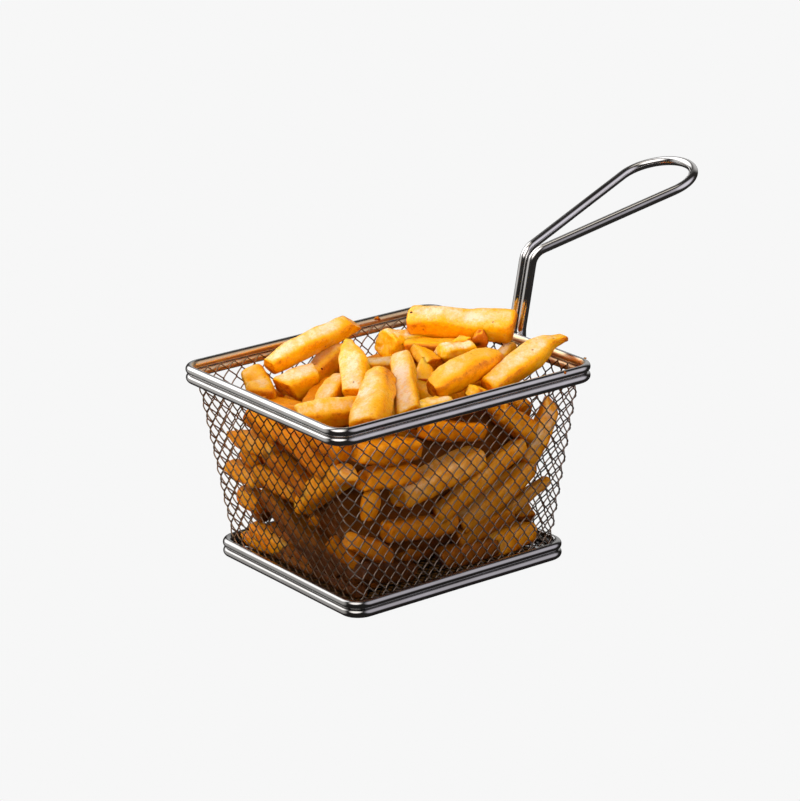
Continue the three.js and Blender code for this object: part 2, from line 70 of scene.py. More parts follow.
WIRE_RADIUS = 0.24
MESH_SWING = 0.25  # how far a mesh wire swings out and in
HOOK = 0.1  # how far its tips reach past the middle of a crossing
TIP_ROUNDING = 0.99
ROW_STEPS = 6
MESH_TOP = (66.0, 49.9, 42.2)
MESH_FOOT = (4.5, 41.3, 36.6)
MESH_EDGES = (66.4, 3.6)
MESH_CORNER = 3.0
DIAMONDS, ADVANCE = 69, 11
FLOOR_LEVEL = 2.9
FLOOR_CELLS = (31, 27)
FLOOR_HALF = (40.6, 36.0)

FRY_CLEARANCE = 1.2
FLOOR_CLEARANCE = 3.5
# painted shade: below this height the fries are painted darker and browner
LIT_ABOVE = 46.0  # below this height the fries get darker
TAPER_SHARE = 0.45  # how much of a fry's length each end's narrowing takes
SLANT_SHARE = 0.35  # the same for the slant of a cut end

# ---------------------------------------------------------------- camera

CAMERA_AT = (-612.6, -838.8, 411.2)  # mm, from the middle of the basket
AZIMUTH, ELEVATION, ROLL = -36.36, 18.91, -1.31
LENS, SENSOR = 147.13, 36.0


def aim_camera():
    a, e, r = (math.radians(v) for v in (AZIMUTH, ELEVATION, ROLL))
    back = Vector((math.sin(a) * math.cos(e), -math.cos(a) * math.cos(e), math.sin(e)))
    right = Vector((0, 0, 1)).cross(back).normalized()
    up = back.cross(right)
    turned = right * math.cos(r) + up * math.sin(r)
    upright = up * math.cos(r) - right * math.sin(r)
    data = bpy.data.cameras.new("Camera")
    data.lens, data.sensor_width, data.sensor_height = LENS, SENSOR, SENSOR
    data.sensor_fit = "VERTICAL"
    data.clip_start, data.clip_end = 0.05, 20
    camera = bpy.data.objects.new("Camera", data)
    place = Matrix((turned, upright, back)).transposed().to_4x4()
    place.translation = Vector(CAMERA_AT) * MM + Vector((CENTRE_X, 0, 0))
    camera.matrix_world = place
    bpy.context.scene.collection.objects.link(camera)
    bpy.context.scene.camera = camera


aim_camera()

# ---------------------------------------------------------------- mesh helpers


def make_piece(name, points, faces, material, slot, replaced=(), colours=None):
    """A smooth mesh from points in mm in the basket's frame, riding on the body."""
    mesh = bpy.data.meshes.new(name)
    points = np.asarray(points, float) * MM
    points[:, 0] += CENTRE_X
    mesh.from_pydata(points.tolist(), [], faces)
    mesh.polygons.foreach_set("use_smooth", [True] * len(mesh.polygons))
    if colours is not None:
        layer = mesh.color_attributes.new("fry", "FLOAT_COLOR", "POINT")
        layer.data.foreach_set("color", np.asarray(colours, np.float32).ravel())
    mesh.materials.append(material)
    piece = bpy.data.objects.new(name, mesh)
    bpy.context.scene.collection.objects.link(piece)
    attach(piece, BODY)
    if replaced:
        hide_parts(*replaced)
    return piece


def grid_faces(rows, columns, start=0, closed_rows=False):
    """Quads between rings of points; the columns always close on themselves."""
    faces = []
    for i in range(rows if closed_rows else rows - 1):
        a = start + i * columns
        b = start + ((i + 1) % rows) * columns
        for j in range(columns):
            k = (j + 1) % columns
            faces.append((a + j, a + k, b + k, b + j))
    return faces


def unit(v):
    return v / np.maximum(np.linalg.norm(v, axis=-1, keepdims=True), 1e-9)


def tube(path, radius, sides, side_hint, closed=False):
    """Points and faces of a round wire along a path; the hint gives the section's first side."""
    path = np.asarray(path, float)
    if closed:
        tangent = np.roll(path, -1, 0) - np.roll(path, 1, 0)
    else:
        tangent = np.gradient(path, axis=0)
    tangent = unit(tangent)
    hint = np.broadcast_to(np.asarray(side_hint, float), path.shape)
    first = unit(hint - (hint * tangent).sum(1, keepdims=True) * tangent)
    second = np.cross(tangent, first)
    angle = np.arange(sides) * TAU / sides
    reach = np.broadcast_to(np.asarray(radius, float), (len(path),))[:, None, None]
    ring = (np.cos(angle)[None, :, None] * first[:, None] +
            np.sin(angle)[None, :, None] * second[:, None])
    points = (path[:, None] + reach * ring).reshape(-1, 3)
    faces = grid_faces(len(path), sides, 0, closed)
    if not closed:
        last = (len(path) - 1) * sides
        faces.append(tuple(reversed(range(sides))))
        faces.append(tuple(last + j for j in range(sides)))
    return points, faces


def joined(parts):
    """Several (points, faces) as one."""
    points, faces, count = [], [], 0
    for part_points, part_faces in parts:
        points.append(part_points)
        faces.extend(tuple(i + count for i in face) for face in part_faces)
        count += len(part_points)
    return np.concatenate(points), faces


def lattice_noise(points, size, seed):
    """Smooth random values from -1 to 1 at points in mm, with features of about that size."""
    p = np.asarray(points, float) / size + seed * 17.31
    cell = np.floor(p).astype(np.int64)
    t = p - cell
    t = t * t * (3 - 2 * t)
    total = np.zeros(len(p))
    for corner in range(8):
        step = np.array([corner & 1, corner >> 1 & 1, corner >> 2 & 1])
        at = cell + step
        h = (at[:, 0] * 73856093) ^ (at[:, 1] * 19349663) ^ (at[:, 2] * 83492791)
        h = (h ^ (h >> 13)) * 1274126177 & 0xFFFFFFFF
        h = (h ^ (h >> 16)) & 0xFFFF
        weight = np.prod(np.where(step, t, 1 - t), axis=1)
        total += weight * (h / 32767.5 - 1)
    return total


# ---------------------------------------------------------------- materials


class Nodes:
    """Short calls for building a procedural material."""

    def __init__(self, name):
        self.material = bpy.data.materials.new(name)
        self.material.use_nodes = True
        self.tree = self.material.node_tree
        self.shader = self.tree.nodes["Principled BSDF"]
        coordinates = self.tree.nodes.new("ShaderNodeTexCoord")
        self.place = coordinates.outputs["Object"]

    def add(self, kind, out=0, props=(), **inputs):
        node = self.tree.nodes.new("ShaderNode" + kind)
        for key, value in dict(props).items():
            setattr(node, key, value)
        for key, value in inputs.items():
            index = int(key[1:]) if key[1:].isdigit() else key.replace("_", " ")
            self.feed(node.inputs[index], value)
        return node.outputs[out]

    def feed(self, socket, value):
        if isinstance(value, bpy.types.NodeSocket):
            self.tree.links.new(value, socket)
        else:
            socket.default_value = value

    def split(self, value, kind="XYZ"):
        node = self.tree.nodes.new("ShaderNodeSeparate" + kind)
        self.feed(node.inputs[0], value)
        return node.outputs[:]

    def normal(self):
        return self.tree.nodes.new("ShaderNodeNewGeometry").outputs["Normal"]

    def noise(self, scale, detail=3.0, roughness=0.55):
        return self.add("TexNoise", Vector=self.place, Scale=scale, Detail=detail,
                        Roughness=roughness)

    def math(self, operation, a, b=0.0):
        return self.add("Math", 0, {"operation": operation}, i0=a, i1=b)

    def span(self, value, low, high, to_low=0.0, to_high=1.0):
        return self.add("MapRange", Value=value, From_Min=low, From_Max=high,
                        To_Min=to_low, To_Max=to_high)

    def blend(self, share, a, b):
        node = self.tree.nodes.new("ShaderNodeMix")
        node.data_type = "RGBA"
        self.feed(node.inputs["Factor"], share)
        self.feed(node.inputs[6], a)
        self.feed(node.inputs[7], b)
        return node.outputs[2]

    def ramp(self, value, stops):
        node = self.tree.nodes.new("ShaderNodeValToRGB")
        self.feed(node.inputs["Fac"], value)
        elements = node.color_ramp.elements
        while len(elements) < len(stops):
            elements.new(0.5)
        for element, (at, colour) in zip(elements, stops):
            element.position, element.color = at, (*colour, 1)
        return node.outputs["Color"]

    def bump(self, height, strength, distance):
        return self.add("Bump", Height=height, Strength=strength, Distance=distance)

    def shade(self, **inputs):
        for key, value in inputs.items():
            self.feed(self.shader.inputs[key.replace("_", " ")], value)


STEEL_TONES = ((0.60, 0.585, 0.57), (0.70, 0.69, 0.685))


def polished_steel(name, bright=1.0, fry_reflection=False):
    """Bright steel. Its tint is scaled by a brightness, which paints light on the parts set above 1
    and shade on those below. When asked, what faces the fries gets a golden tint and more blur: a
    painted reflection of the fries.
    """
    m = Nodes(name)
    broad = m.noise(90, 2)
    dark, light = ([c * bright for c in tone] for tone in STEEL_TONES)
    tint = m.ramp(broad, [(0.3, dark), (0.7, light)])
    if fry_reflection:
        facing, place = m.split(m.normal()), m.split(m.place)
        across = m.math("MULTIPLY", facing[0], m.math("SUBTRACT", place[0], CENTRE_X))
        outward = m.math("ADD", across, m.math("MULTIPLY", facing[1], place[1]))
        inner = m.span(outward, -0.012, -0.034)
        # painted reflection: a golden tint on the sides that face the fries
        tint = m.blend(inner, tint, (1.0, 0.74, 0.44, 1))
    pits = m.span(m.noise(700, 2, 0.7), 0.76, 0.88)
    blur = m.span(broad, 0.3, 0.7, 0.11, 0.15)
    if fry_reflection:
        blur = m.math("ADD", blur, m.math("MULTIPLY", inner, 0.25))
    m.shade(
        Metallic=1.0,
        Base_Color=m.blend(pits, tint, (0.30, 0.24, 0.20, 1)),
        Roughness=blur,
        Normal=m.bump(broad, 0.08, 0.0002),
    )
    return m.material


def mesh_steel():
    """The walls' wires, dark brownish steel; a lighter tint on the near long wall is a painted
    highlight, and a brown tint towards the far long wall is a painted reflection of the fries.
    """
    m = Nodes("mesh_steel")
    broad, fine = m.noise(140, 3), m.noise(1100, 3)
    tint = m.ramp(broad, [(0.35, (0.09, 0.048, 0.024)), (0.65, (0.15, 0.085, 0.05))])
    depth = m.split(m.place)[1]
    # painted highlight: a lighter tint on the near long wall, so its wires show brighter
    near_wall_highlight = m.span(depth, -0.034, -0.036, 0.0, 0.7)
    tint = m.blend(near_wall_highlight, tint, (0.36, 0.29, 0.25, 1))
    # painted reflection: a brown tint towards the far long wall, for the fries' warm light in its
    # wires
    far_wall_reflection = m.span(depth, 0.008, 0.026, 0.0, 0.75)
    tint = m.blend(far_wall_reflection, tint, (0.34, 0.22, 0.13, 1))
    m.shade(
        Metallic=0.8,
        Base_Color=tint,
        Roughness=m.span(fine, 0.3, 0.7, 0.10, 0.24),
        Normal=m.bump(fine, 0.15, 0.00005),
    )
    return m.material


def floor_steel_painted_shade():
    """The floor's wires, painted dark for the shade under the heap of fries."""
    m = Nodes("floor_steel_painted_shade")
    broad, fine = m.noise(160, 3), m.noise(1100, 3)
    m.shade(
        Metallic=1.0,
        Base_Color=m.ramp(broad, [(0.35, (0.05, 0.025, 0.010)), (0.65, (0.09, 0.05, 0.025))]),
        Roughness=m.span(fine, 0.3, 0.7, 0.25, 0.45),
        Normal=m.bump(fine, 0.15, 0.00005),
    )
    return m.material


# Fried potato from pale to dark, in the open and behind the wires. The darker end also serves as
# painted shade on sides turned from the light, and the tones used behind the wires and inside the
# heap are a darker, redder copy of the crown's: painted shade.
CROWN_TONES = [
    (0.00, (0.95, 0.71, 0.47)),
    (0.16, (0.96, 0.60, 0.26)),
    (0.34, (0.97, 0.50, 0.05)),
    (0.52, (0.97, 0.44, 0.000)),
    (0.76, (0.94, 0.34, 0.000)),
    (1.00, (0.55, 0.12, 0.000)),
]
# painted shade: a darker, redder copy of the crown's tones
SHADED_WALL_TONES = [
    (0.00, (0.78, 0.47, 0.25)),
    (0.15, (0.78, 0.37, 0.08)),
    (0.35, (0.77, 0.29, 0.008)),
    (0.65, (0.66, 0.185, 0.000)),
    (1.00, (0.34, 0.055, 0.000)),
]


def fried_potato(name, tones, gloss, lit_side):
    """Fried crust; it is paler where it faces the lit side and darker amber where it turns away:
    painted light and shade.
    """
    m = Nodes(name)
    data = m.tree.nodes.new("ShaderNodeAttribute")
    data.attribute_name = "fry"
    tone, edge, depth = m.split(data.outputs["Color"], "Color")
    burnt = data.outputs["Alpha"]
    broad, middle, fine = m.noise(160, 3, 0.6), m.noise(480, 4, 0.65), m.noise(2400, 3, 0.6)
    grain = m.noise(1300, 2, 0.7)
    # painted light and shade: paler on sides that face the light, darker amber on sides turned away
    facing = m.add("VectorMath", 1, {"operation": "DOT_PRODUCT"}, i0=m.normal(),
                   i1=Vector(lit_side).normalized())
    turned_from_light = m.span(facing, 0.35, 0.92, 1.0, 0.0)
    value = m.math("ADD", m.math("MULTIPLY", turned_from_light, 0.46), m.math("MULTIPLY", tone, 0.5))
    patches = m.math("ADD", m.span(broad, 0.38, 0.62, -0.10, 0.13),
                     m.span(middle, 0.38, 0.62, -0.07, 0.10))
    patches = m.math("ADD", patches, m.span(grain, 0.3, 0.7, -0.07, 0.07))
    value = m.math("ADD", value, m.math("MULTIPLY", patches, m.span(tone, 0.2, 0.8, 1.0, 0.35)))
    value = m.math("ADD", value, m.math("MULTIPLY", edge, 0.2))
    crust = m.ramp(value, tones)
    freckles = m.math("MULTIPLY", m.span(m.noise(1500, 2, 0.6), 0.57, 0.64),
                      m.math("ADD", m.math("MULTIPLY", edge, 0.38), 0.2))
    crust = m.blend(freckles, crust, (0.74, 0.23, 0.006, 1))
    # painted shade: blended towards dark brown low in the heap and where a fry's darkening is added
    low = m.math("MULTIPLY", m.math("POWER", depth, 1.45), 1.08)
    crust = m.blend(low, crust, (0.055, 0.014, 0.002, 1))
    spots = m.tree.nodes.new("ShaderNodeTexVoronoi")
    m.feed(spots.inputs["Vector"], m.place)
    m.feed(spots.inputs["Scale"], 420.0)
    chosen = m.split(spots.outputs["Color"], "Color")[0]
    from_spot = m.math("ADD", spots.outputs["Distance"], m.span(grain, 0.3, 0.7, -0.07, 0.07))
    speck = m.math("MULTIPLY", m.span(from_spot, 0.08, 0.2, 0.8, 0),
                   m.span(chosen, 0.93, 0.94))
    crust = m.blend(speck, crust, (0.30, 0.075, 0.008, 1))
    crust = m.blend(burnt, crust, (0.10, 0.022, 0.004, 1))
    height = m.math("ADD", m.math("MULTIPLY", middle, 0.6), m.math("MULTIPLY", fine, 0.4))
    wet = m.span(m.noise(800, 2, 0.5), 0.54, 0.62, 0.02, 0.8 * gloss)
    m.shade(
        Base_Color=crust,
        Roughness=m.span(fine, 0.35, 0.65, 0.25, 0.55),
        IOR=1.45,
        Subsurface_Weight=0.6,
        Subsurface_Radius=(1.0, 0.95, 0.35),
        Subsurface_Scale=0.004,
        Specular_IOR_Level=0.4 * gloss,
        Coat_Weight=wet,
        Coat_Roughness=0.08,
        Normal=m.bump(height, 0.7, 0.0007),
    )
    return m.material


# painted light and shade: the handle's steel is painted brighter and the base's darker than the
# rim's, for how light falls on them
HANDLE_STEEL = polished_steel("polished_steel", 1.35)
BASE_STEEL = polished_steel("base_steel", 0.78)
MESH_STEEL, FLOOR_STEEL_PAINTED_SHADE = mesh_steel(), floor_steel_painted_shade()
# the last vector of each potato is where its painted light comes from
CROWN_POTATO = fried_potato("fried_potato", CROWN_TONES, 1.0, (-0.42, 0.06, 0.90))
SHADED_WALL_POTATO = fried_potato("wall_potato_painted_shade", SHADED_WALL_TONES, 0.3, (-0.50, -0.60, 0.62))
# the rim's steel, with a painted reflection of the fries on its inner sides
RIM_STEEL = polished_steel("rim_steel_fry_reflection", 1.0, True)

# ---------------------------------------------------------------- rim, base and handle


def rounded_rectangle(plan, z, arc_steps=14, straight_steps=24):
    length, width, corner = plan
    ends = []
    for sx, sy, start in CORNERS:
        centre = np.array([sx * (length / 2 - corner), sy * (width / 2 - corner)])
        for k in range(arc_steps + 1):
            a = math.radians(start + 90 * k / arc_steps)
            ends.append([*(centre + corner * np.array([math.cos(a), math.sin(a)])), z])
    points = []
    for i, here in enumerate(ends):
        after = ends[(i + 1) % len(ends)]
        steps = straight_steps if i % (arc_steps + 1) == arc_steps else 1
        for k in range(steps):
            points.append(np.array(here) + (np.array(after) - here) * k / steps)
    return np.array(points)


def frame_rings():
    for plan, levels, word, finish in ((RIM, RIM_LEVELS, "rim", RIM_STEEL),
                                       (BASE, BASE_LEVELS, "base", BASE_STEEL)):
        for z, which in zip(levels, ("upper", "lower")):
            path = rounded_rectangle(plan, z)
            wander = lattice_noise(path, 22, z)[:, None] * [0.05, 0.05, 0.03]
            node = f"{word}_wire_{which}"
            shape = tube(path + wander, FRAME_RADIUS, 24, (0, 0, 1), True)
            make_piece(f"Wire_{word}_{which}", *shape, finish, "polished_wire", [node])


def bend(before, corner, after, radius, steps=10):
    """Points of a round bend at a corner of a path."""
    back, forward = unit(before - corner), unit(after - corner)
    half = math.acos(float(np.clip(back @ forward, -1, 1))) / 2
    centre = corner + unit(back + forward) * radius / math.sin(half)
    first = corner + back * radius / math.tan(half) - centre
    last = corner + forward * radius / math.tan(half) - centre
    sweep = math.pi - 2 * half
    turns = np.linspace(0, sweep, steps + 1)[:, None]
    return centre + (first * np.sin(sweep - turns) + last * np.sin(turns)) / math.sin(sweep)


def handle_path():
    lean, rise = math.radians(LEG_LEAN), math.radians(LOOP_RISE)
    shoulder_x = LEG_X + (SHOULDER - LEG_KNEE) * math.tan(lean)
    along = np.array([math.cos(rise), 0, math.sin(rise)])
    spread = math.asin((LOOP_RADIUS - LEG_HALF_GAP) / LOOP_REACH)

    def on_loop(reach, across):
        return np.array([shoulder_x, across, SHOULDER]) + along * reach

    def side(sign):
        y = sign * LEG_HALF_GAP
        foot, knee = np.array([LEG_X, y, LEG_FOOT]), np.array([LEG_X, y, LEG_KNEE])
        turn = on_loop(0, y)
        tangent = on_loop(LOOP_REACH - LOOP_RADIUS * math.sin(spread),
                          sign * LOOP_RADIUS * math.cos(spread))
        knee_bend = bend(foot, knee, turn, KNEE_BEND, 5)
        shoulder_bend = bend(knee, turn, tangent, SHOULDER_BEND, 12)
        straight = np.linspace(knee_bend[-1], shoulder_bend[0], 12)[1:-1]
        leg = np.linspace(shoulder_bend[-1], tangent, 24)[1:-1]
        return [foot, *knee_bend, *straight, *shoulder_bend, *leg]

    angles = np.linspace(math.pi / 2 + spread, -math.pi / 2 - spread, 44)
    end = [on_loop(LOOP_REACH + LOOP_RADIUS * math.cos(a), LOOP_RADIUS * math.sin(a))
           for a in angles]
    return np.array([*side(1), *end, *side(-1)[::-1]])


def handle():
    path = handle_path()
    path += lattice_noise(path, 30, 3)[:, None] * [0.08, 0.08, 0.05]
    shape = tube(path, HANDLE_RADIUS, 24, (0.26, 0.02, -0.96))
    make_piece("Handle", *shape, HANDLE_STEEL, "polished_wire", ["handle"])
    beads = []
    for sign in (-1, 1):
        for z in RIM_LEVELS:
            turn = np.linspace(0, math.pi, 9)
            middle = np.array([RIM[0] / 2 + 1.35, sign * LEG_HALF_GAP, z])
            spine = middle + np.outer(np.cos(turn), [0, 1.9, 0])
            swell = 0.25 + 0.75 * np.sin(turn)
            wobble = 1 + 0.15 * lattice_noise(spine, 0.8, z + sign)
            beads.append(tube(spine, swell * wobble, 12, (0, 0, 1)))
    make_piece("Handle_welds", *joined(beads), HANDLE_STEEL, "polished_wire")


frame_rings()
handle()

# ---------------------------------------------------------------- woven mesh


def wall_half(z):
    t = (z - MESH_FOOT[0]) / (MESH_TOP[0] - MESH_FOOT[0])
    return (MESH_FOOT[1] + t * (MESH_TOP[1] - MESH_FOOT[1]),
            MESH_FOOT[2] + t * (MESH_TOP[2] - MESH_FOOT[2]))


def wall_plan(z):
    """Straight and curved stretches of the wall's plan at a height, with their lengths."""
    hx, hy = wall_half(z)
    r = MESH_CORNER
    stretches = []
    for sx, sy, start in CORNERS:
        stretches.append(("arc", np.array([sx * (hx - r), sy * (hy - r)]), start, r * math.pi / 2))
        a = math.radians(start + 90)
        straight = 2 * (hx - r) if start in (0, 180) else 2 * (hy - r)
        outward = np.array([math.cos(a), math.sin(a)])
        begin = np.array([sx * (hx - r), sy * (hy - r)]) + r * outward
        stretches.append(("line", begin, start + 90, straight))
    return stretches


MID_PLAN = wall_plan((MESH_TOP[0] + MESH_FOOT[0]) / 2)
MARKS = np.cumsum([0] + [s[3] for s in MID_PLAN])
MARKS = MARKS * DIAMONDS / MARKS[-1]


def wall_point(around, z, offset):
    """A point of the wall, `around` diamonds from the start, and its outward side."""
    around %= DIAMONDS
    i = int(np.searchsorted(MARKS, around, "right")) - 1
    t = (around - MARKS[i]) / (MARKS[i + 1] - MARKS[i])
    kind, at, start, length = wall_plan(z)[i]
    if kind == "arc":
        a = math.radians(start + 90 * t)
        outward = np.array([math.cos(a), math.sin(a)])
        point = at + (MESH_CORNER + offset) * outward
    else:
        a = math.radians(start)
        outward = np.array([math.cos(a), math.sin(a)])
        along = np.array([-outward[1], outward[0]])
        point = at + along * length * t + outward * offset
    return np.array([*point, z]), np.array([*outward, 0.0])


def zigzag(turn):
    """A wave with straight flanks and round tips, from -1 to 1."""
    return math.asin(TIP_ROUNDING * math.sin(turn)) / math.asin(TIP_ROUNDING)


def mesh_walls():
    """Upright zigzag wires, each hooked into its neighbours, going down to the right in front."""
    rows = 2 * ADVANCE
    steps = rows * ROW_STEPS + 1
    top, bottom = MESH_EDGES
    for half, name in ((0, "a"), (1, "b")):
        wires = []
        for band in range(DIAMONDS):
            path, hints = [], []
            for k in range(steps):
                share = k / (steps - 1)
                turn = math.pi * (rows * share + half - 0.5)
                across = 0.25 * (1 + HOOK) * zigzag(turn)
                around = band + 0.5 * half + 0.25 + across
                offset = MESH_SWING * math.cos(turn)
                point, outward = wall_point(around, top + (bottom - top) * share, offset)
                path.append(point)
                hints.append(outward)
            path = np.array(path)
            path += 0.04 * np.stack([lattice_noise(path, 9, s) for s in (1, 2, 3)], 1)
            wires.append(tube(path, WIRE_RADIUS, 7, hints))
        make_piece(f"Mesh_walls_{name}", *joined(wires), MESH_STEEL, "mesh_wire", ["mesh_walls"])


def mesh_floor():
    cell_x, cell_y = (2 * h / c for h, c in zip(FLOOR_HALF, FLOOR_CELLS))
    wires = []
    for lean in (1, -1):
        for line in range(-FLOOR_CELLS[0] - FLOOR_CELLS[1], FLOOR_CELLS[0] + FLOOR_CELLS[1], 2):
            # cells where x - lean * y equals line, counted from the middle
            low = max(-FLOOR_CELLS[0] / 2, line / 2 - FLOOR_CELLS[1] / 2)
            high = min(FLOOR_CELLS[0] / 2, line / 2 + FLOOR_CELLS[1] / 2)
            if high - low < 1:
                continue
            x = np.linspace(low, high, int((high - low) * 5) + 1)
            y = (x - line / 2) * lean
            z = FLOOR_LEVEL + lean * MESH_SWING * np.cos(math.pi * (x - line / 2))
            path = np.stack([x * cell_x, y * cell_y, z], 1)
            wires.append(tube(path, WIRE_RADIUS, 6, (0, 0, 1)))
    make_piece("Mesh_floor", *joined(wires), FLOOR_STEEL_PAINTED_SHADE, "mesh_wire", ["mesh_floor"])


mesh_walls()
mesh_floor()
